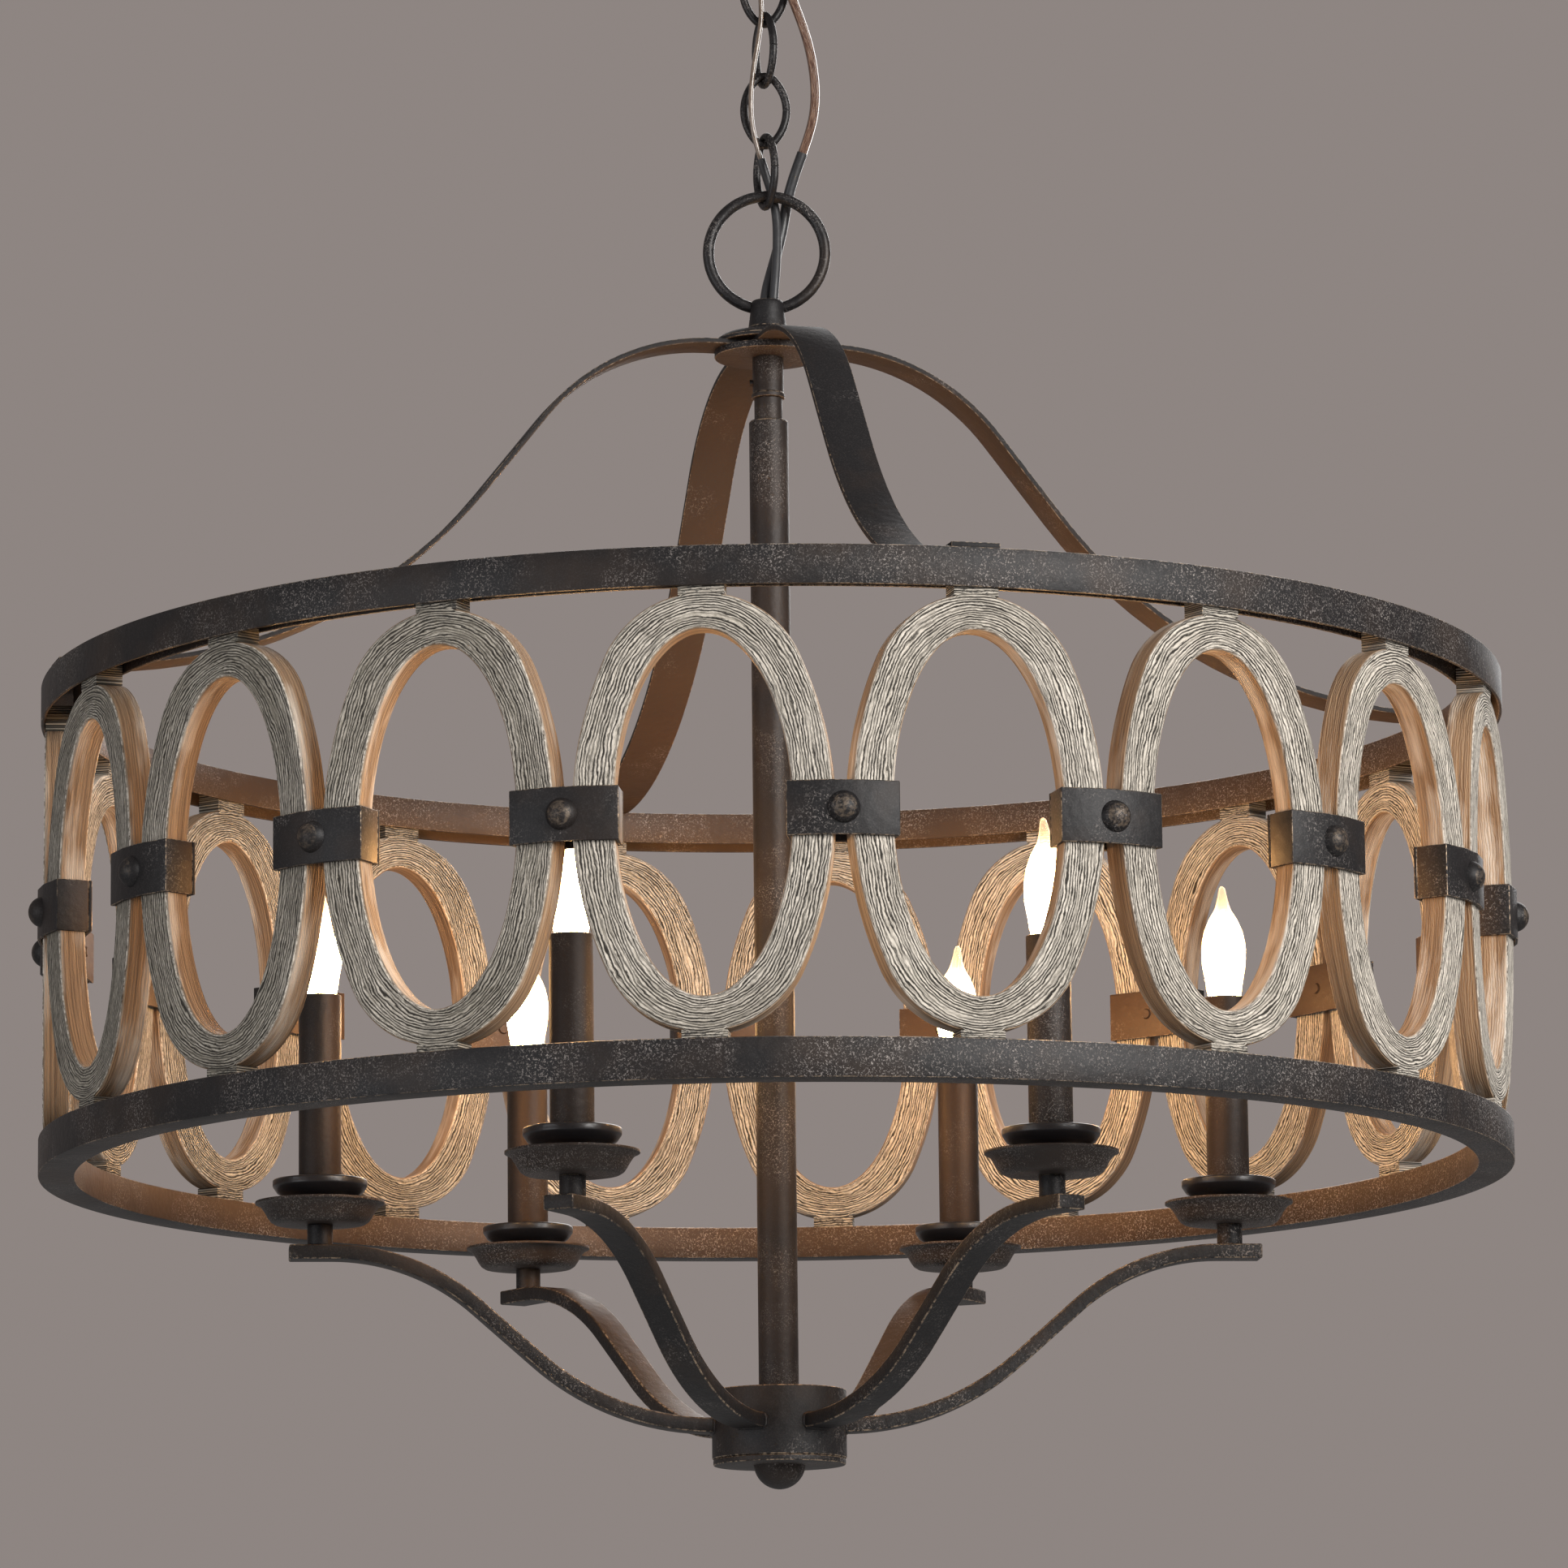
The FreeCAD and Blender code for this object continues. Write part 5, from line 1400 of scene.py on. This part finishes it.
def tube_mesh(points, radius, name, sides=16, twin=0.0):
    """Tube along points with its wind map, closed at both ends."""
    shell = bmesh.new()
    wind = shell.loops.layers.uv.new("wind")
    rings, along = [], [0.0]
    side = Vector((1, 0, 0))
    for index, point in enumerate(points):
        before, after = points[max(0, index - 1)], points[min(len(points) - 1, index + 1)]
        ahead = (after - before).normalized()
        side = (side - ahead * side.dot(ahead)).normalized()
        other = ahead.cross(side)
        ring = []
        for step in range(sides):
            angle = math.tau * step / sides
            reach = radius * (1 - twin * abs(math.sin(angle)) ** 8)
            spot = point + side * (reach * math.cos(angle)) + other * (reach * math.sin(angle))
            ring.append(shell.verts.new(spot))
        rings.append(ring)
        if index:
            along.append(along[-1] + (point - points[index - 1]).length)
    for index in range(len(rings) - 1):
        for step in range(sides):
            other_step = (step + 1) % sides
            face = shell.faces.new((rings[index][step], rings[index][other_step], rings[index + 1][other_step],
                                    rings[index + 1][step]))
            round_a, round_b = radius * math.tau * step / sides, radius * math.tau * (step + 1) / sides
            for loop, place in zip(face.loops, ((round_a, along[index]), (round_b, along[index]),
                                                (round_b, along[index + 1]), (round_a, along[index + 1]))):
                loop[wind].uv = place
    shell.faces.new(rings[0])
    shell.faces.new(reversed(rings[-1]))
    bmesh.ops.recalc_face_normals(shell, faces=shell.faces)
    return to_mesh(shell, name), along[-1]


def cut_at(points, height):
    """Split a falling line at its first point below a height. Both parts hold that point."""
    for index, point in enumerate(points):
        if point.z < height:
            return points[:index + 1], points[index:]
    return points, []


class MakeCords(Builder, bpy.types.Operator):
    """Build the two cords and their sleeves, in one span for each joint that they cross"""
    bl_idname = "chandelier.make_cords"
    bl_label = "Make cords"

    def build(self, settings):
        size = settings.cord
        self.cord("left_cord", LEFT_ROUTE, size.left, "clear_cord", "clear_cord", 0.0)
        self.cord("right_cord", RIGHT_ROUTE, size.right, "copper_cord", "copper_cord", 0.3)
        self.sleeve("left_cord_sleeve", LEFT_SLEEVE_ROUTE, size.left_sleeve)
        self.sleeve("right_cord_sleeve", RIGHT_SLEEVE_ROUTE, size.right_sleeve)

    def span(self, name, points, diameter, node, slot, finish, bodies, pivot, reach, twin=0.0):
        """One span of tube in place of its node, with its place baked into the mesh."""
        mesh, run = tube_mesh(points, diameter / 2, name, twin=twin)
        piece = add_piece(name, mesh, None, finish, [node])
        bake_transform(piece)

    def cord(self, node, route, diameter, slot, finish, twin):
        """A cord from the ceiling fitting down to its sleeve, cut between the links' pivots."""
        points = smooth_line(route, node + "_line")
        bodies = ["ceiling_mount", "link_1", "link_2", "link_3", "link_4"]
        for number in range(4):
            part, points = cut_at(points, SPAN_CUTS[number] * MM) if number < 3 else (points, [])
            self.span("%s_span_%d" % (node, number + 1), part, diameter, node, slot, finish,
                      bodies[number:number + 2], LINK_PIVOTS[number], CORD_BEND * MM, twin)

    def sleeve(self, node, route, diameter):
        """A sleeve that crosses the lowest pivot."""
        points = smooth_line(route, node + "_line")
        self.span(node + "_skin", points, diameter, node, "shrink_sleeve", "sleeve", ["link_4", "fixture"],
                  LINK_PIVOTS[4], SLEEVE_BEND * MM)


class MakeCeiling(Builder, bpy.types.Operator):
    """Build the canopy, the collar ring and the collar loop"""
    bl_idname = "chandelier.make_ceiling"
    bl_label = "Make ceiling fitting"

    def build(self, settings):
        self.canopy()
        self.collar()
        self.loop()

    def canopy(self):
        """Spun dish with a rolled rim."""
        low, high = node_span("canopy")
        rim, hole, sheet, shoulder = node_radius("canopy"), 15.5 * MM, 1.2 * MM, 22.0 * MM
        outside = []
        start = math.asin(0.12)
        for step in range(17):
            angle = start + (math.pi / 2 - start) * step / 16
            outside.append((shoulder + (rim - shoulder) * math.cos(angle) / math.cos(start),
                            low * math.sin(angle)))
        inside = [(r - sheet * math.cos(math.pi / 2 * i / 16), z + sheet * math.sin(math.pi / 2 * i / 16))
                  for i, (r, z) in enumerate(outside)]
        outline = [(rim, high), *outside, (hole, low), (hole, low + sheet), *reversed(inside),
                   (rim - sheet, high)]
        mesh = sharp_lathe("canopy_dish", outline, 0.3 * MM, segments=96, steps=2)
        add_piece("canopy_dish", mesh, "canopy", "iron", ["canopy"])

    def collar(self):
        """Threaded ring with notches for the fingers."""
        low, high = node_span("collar_ring")
        outer, bore = node_radius("collar_ring"), 15.3 * MM
        notches, notch_depth = 24, 0.02
        shell = bmesh.new()
        lathe_shell(shell, sleeve_outline(bore, outer, low, high), segments=96)
        for vert in shell.verts:
            spot = Vector((vert.co.x, vert.co.y, 0))
            if spot.length > (outer + bore) / 2:
                angle = math.atan2(vert.co.y, vert.co.x)
                notch = 1 - notch_depth * (0.5 + 0.5 * math.cos(notches * angle))
                vert.co.x *= notch
                vert.co.y *= notch
        soften(shell, 0.5 * MM, 3)
        add_piece("collar_nut", to_mesh(shell, "collar_nut"), "canopy", "iron", ["collar_ring"])

    def loop(self):
        """Threaded barrel with its floor, and the loop below it."""
        high = node_high("collar_loop")
        bottom = -44.0 * MM
        outer, inner, pipe = 15.2 * MM, 12.0 * MM, 5.0 * MM
        floor, roof = 4.0 * MM, 12.0 * MM
        outline = [(pipe, high), (pipe, high - roof), (inner, high - roof), (inner, bottom + floor),
                   (0.0, bottom + floor), (0.0, bottom), (outer, bottom)]
        threads = 12
        for step in range(threads * 2 + 1):
            depth = 0.0 if step % 2 == 0 else 0.35 * MM
            outline.append((outer - depth, bottom + 1 * MM + (high - bottom - 2 * MM) * step / (threads * 2)))
        outline.append((outer, high))
        mesh = sharp_lathe("loop_barrel", outline, 0, steps=1)
        add_piece("loop_barrel", mesh, "ceiling_mount", "iron", ["collar_loop"])
        wire, mean, leg = 5.0 * MM, 10.0 * MM, 10.0 * MM
        points = [(0, -mean, bottom), (0, -mean, bottom - leg * 0.5)]
        points += [(0, mean * math.cos(a), bottom - leg - mean * math.sin(a))
                   for a in (math.pi - math.pi * i / 24 for i in range(25))]
        points += [(0, mean, bottom - leg * 0.5), (0, mean, bottom)]
        mesh = wire_mesh(points, "loop_wire", wire / 2, "iron", 0.1 * MM, sides=22)
        add_piece("loop_wire", mesh, "ceiling_mount", None, ["collar_loop"])


KEPT_NODES = {
    "zinc": ["crossbar", "crossbar_screws", "ceiling_pipe", "lock_nut", "inner_pipe", "candle_pipes"],
    "iron": ["set_screw"],
    "socket": ["sockets"],
}


class FinishKeptNodes(Builder, bpy.types.Operator):
    """Give the frame's own pieces their finish"""
    bl_idname = "chandelier.finish_kept_nodes"
    bl_label = "Finish kept nodes"

    def build(self, settings):
        for finish, nodes in KEPT_NODES.items():
            for node in nodes:
                for slot in frame["nodes"][node].material_slots:
                    slot.material = FINISHES[finish]


# Places and sizes in metres, energy in watts
LAMPS = {
    "key_lamp": {"place": (2.6, -3.0, 0.4), "energy": 190, "size": 2.0, "tint": (1.0, 0.98, 0.95)},
    "fill_lamp": {"place": (-3.2, -2.6, -0.6), "energy": 42, "size": 2.4, "tint": (0.95, 0.97, 1.0)},
    "rim_lamp": {"place": (0.8, 3.2, 0.9), "energy": 90, "size": 2.2, "tint": (1.0, 1.0, 1.0)},
}
# Soft light from all round, and half of the floor's width in metres
SOFT_LIGHT = (0.96, 0.97, 1.0, 1)
SOFT_STRENGTH = 0.37
FLOOR_REACH = 12.0


class MakeStage(Builder, bpy.types.Operator):
    """Set up the camera, the lamps, the floor and the backdrop"""
    bl_idname = "chandelier.make_stage"
    bl_label = "Make stage"

    def build(self, settings):
        scene, stage = bpy.context.scene, settings.stage
        self.camera(scene, stage)
        for name, lamp in LAMPS.items():
            self.lamp(name, **lamp)
        self.floor(stage)
        self.world(scene, stage)
        scene.view_settings.view_transform = "Standard"

    def camera(self, scene, stage):
        """Camera where the photograph was taken from."""
        data = bpy.data.cameras.new("photo_camera")
        data.lens = stage.focal
        data.sensor_width = 36
        data.clip_end = 50
        camera = bpy.data.objects.new("photo_camera", data)
        turn = Euler((math.pi / 2 + stage.pitch, 0, stage.yaw), "XYZ").to_matrix()
        turn = turn @ Matrix.Rotation(stage.roll, 3, "Z")
        place = Vector((0, -stage.camera_distance, RING_TOP - stage.camera_below_ring))
        camera.matrix_world = Matrix.Translation(place) @ turn.to_4x4()
        scene.collection.objects.link(camera)
        scene.camera = camera

    def lamp(self, name, place, energy, size, tint):
        """Soft area lamp that looks at the middle of the light."""
        data = bpy.data.lights.new(name, "AREA")
        data.energy = energy
        data.size = size
        data.color = tint
        lamp = bpy.data.objects.new(name, data)
        target = Vector((0, 0, OVAL_MIDDLE))
        lamp.matrix_world = (Matrix.Translation(place)
                             @ (target - Vector(place)).to_track_quat("-Z", "Y").to_matrix().to_4x4())
        bpy.context.scene.collection.objects.link(lamp)

    def floor(self, stage):
        """Plain pale floor."""
        reach, height = FLOOR_REACH, -stage.floor_drop
        mesh = bpy.data.meshes.new("floor")
        mesh.from_pydata([(-reach, -reach, height), (reach, -reach, height), (reach, reach, height),
                          (-reach, reach, height)], [], [(0, 1, 2, 3)])
        finish = Finish("floor_paint")
        mesh.materials.append(finish.surface(Base_Color=tuple(stage.paint), Roughness=0.9))
        floor = bpy.data.objects.new("floor", mesh)
        bpy.context.scene.collection.objects.link(floor)

    def world(self, scene, stage):
        """Even backdrop for the camera, glossy and transmission rays, and soft light for the rest."""
        world = bpy.data.worlds.new("studio")
        world.use_nodes = True
        tree = world.node_tree
        tree.nodes.clear()
        rays = wired(tree, "ShaderNodeLightPath", {}, {}).outputs
        bent = wired(tree, "ShaderNodeMath", {"operation": "MAXIMUM"},
                     {0: rays["Is Glossy Ray"], 1: rays["Is Transmission Ray"]})
        seen = wired(tree, "ShaderNodeMath", {"operation": "MAXIMUM"},
                     {0: bent.outputs[0], 1: rays["Is Camera Ray"]})
        backdrop = wired(tree, "ShaderNodeBackground", {}, {"Color": (*stage.backdrop, 1), "Strength": 1.0})
        soft = wired(tree, "ShaderNodeBackground", {}, {"Color": SOFT_LIGHT, "Strength": SOFT_STRENGTH})
        mix = wired(tree, "ShaderNodeMixShader", {},
                    {0: seen.outputs[0], 1: soft.outputs[0], 2: backdrop.outputs[0]})
        wired(tree, "ShaderNodeOutputWorld", {}, {"Surface": mix.outputs[0]})
        scene.world = world


OPERATORS = (MakeHoops, MakeOvals, MakeClamps, MakeStraps, MakeArms, MakeHanger, MakeHub, MakeLights, MakeChain,
             MakeCords, MakeCeiling, FinishKeptNodes, MakeStage)
GROUPS = (IronLook, WoodLook, HoopSizes, OvalSizes, ClampSizes, StrapSizes, LightSizes, HangerSizes, ChainSizes,
          CordSizes, StageSettings, Chandelier)


class ChandelierPanel(bpy.types.Panel):
    """Buttons that build the chandelier"""
    bl_idname = "VIEW3D_PT_chandelier"
    bl_label = "Chandelier"
    bl_space_type = "VIEW_3D"
    bl_region_type = "UI"
    bl_category = "Chandelier"

    def draw(self, context):
        for operator in OPERATORS:
            self.layout.operator(operator.bl_idname)


def register():
    """Register the settings, operators and panel."""
    for group in GROUPS:
        bpy.utils.register_class(group)
    for operator in OPERATORS:
        bpy.utils.register_class(operator)
    bpy.utils.register_class(ChandelierPanel)
    bpy.types.Scene.chandelier = PointerProperty(type=Chandelier)


def unregister():
    """Take everything back."""
    del bpy.types.Scene.chandelier
    bpy.utils.unregister_class(ChandelierPanel)
    for kind in reversed(GROUPS + OPERATORS):
        bpy.utils.unregister_class(kind)


def main():
    """Build the whole chandelier."""
    register()
    FINISHES.update(make_finishes(bpy.context.scene.chandelier))
    TREES.update(copies=copies_tree(), wire=wire_tree())
    for operator in OPERATORS:
        group, name = operator.bl_idname.split(".")
        getattr(getattr(bpy.ops, group), name)()


if __name__ == "__main__":
    main()
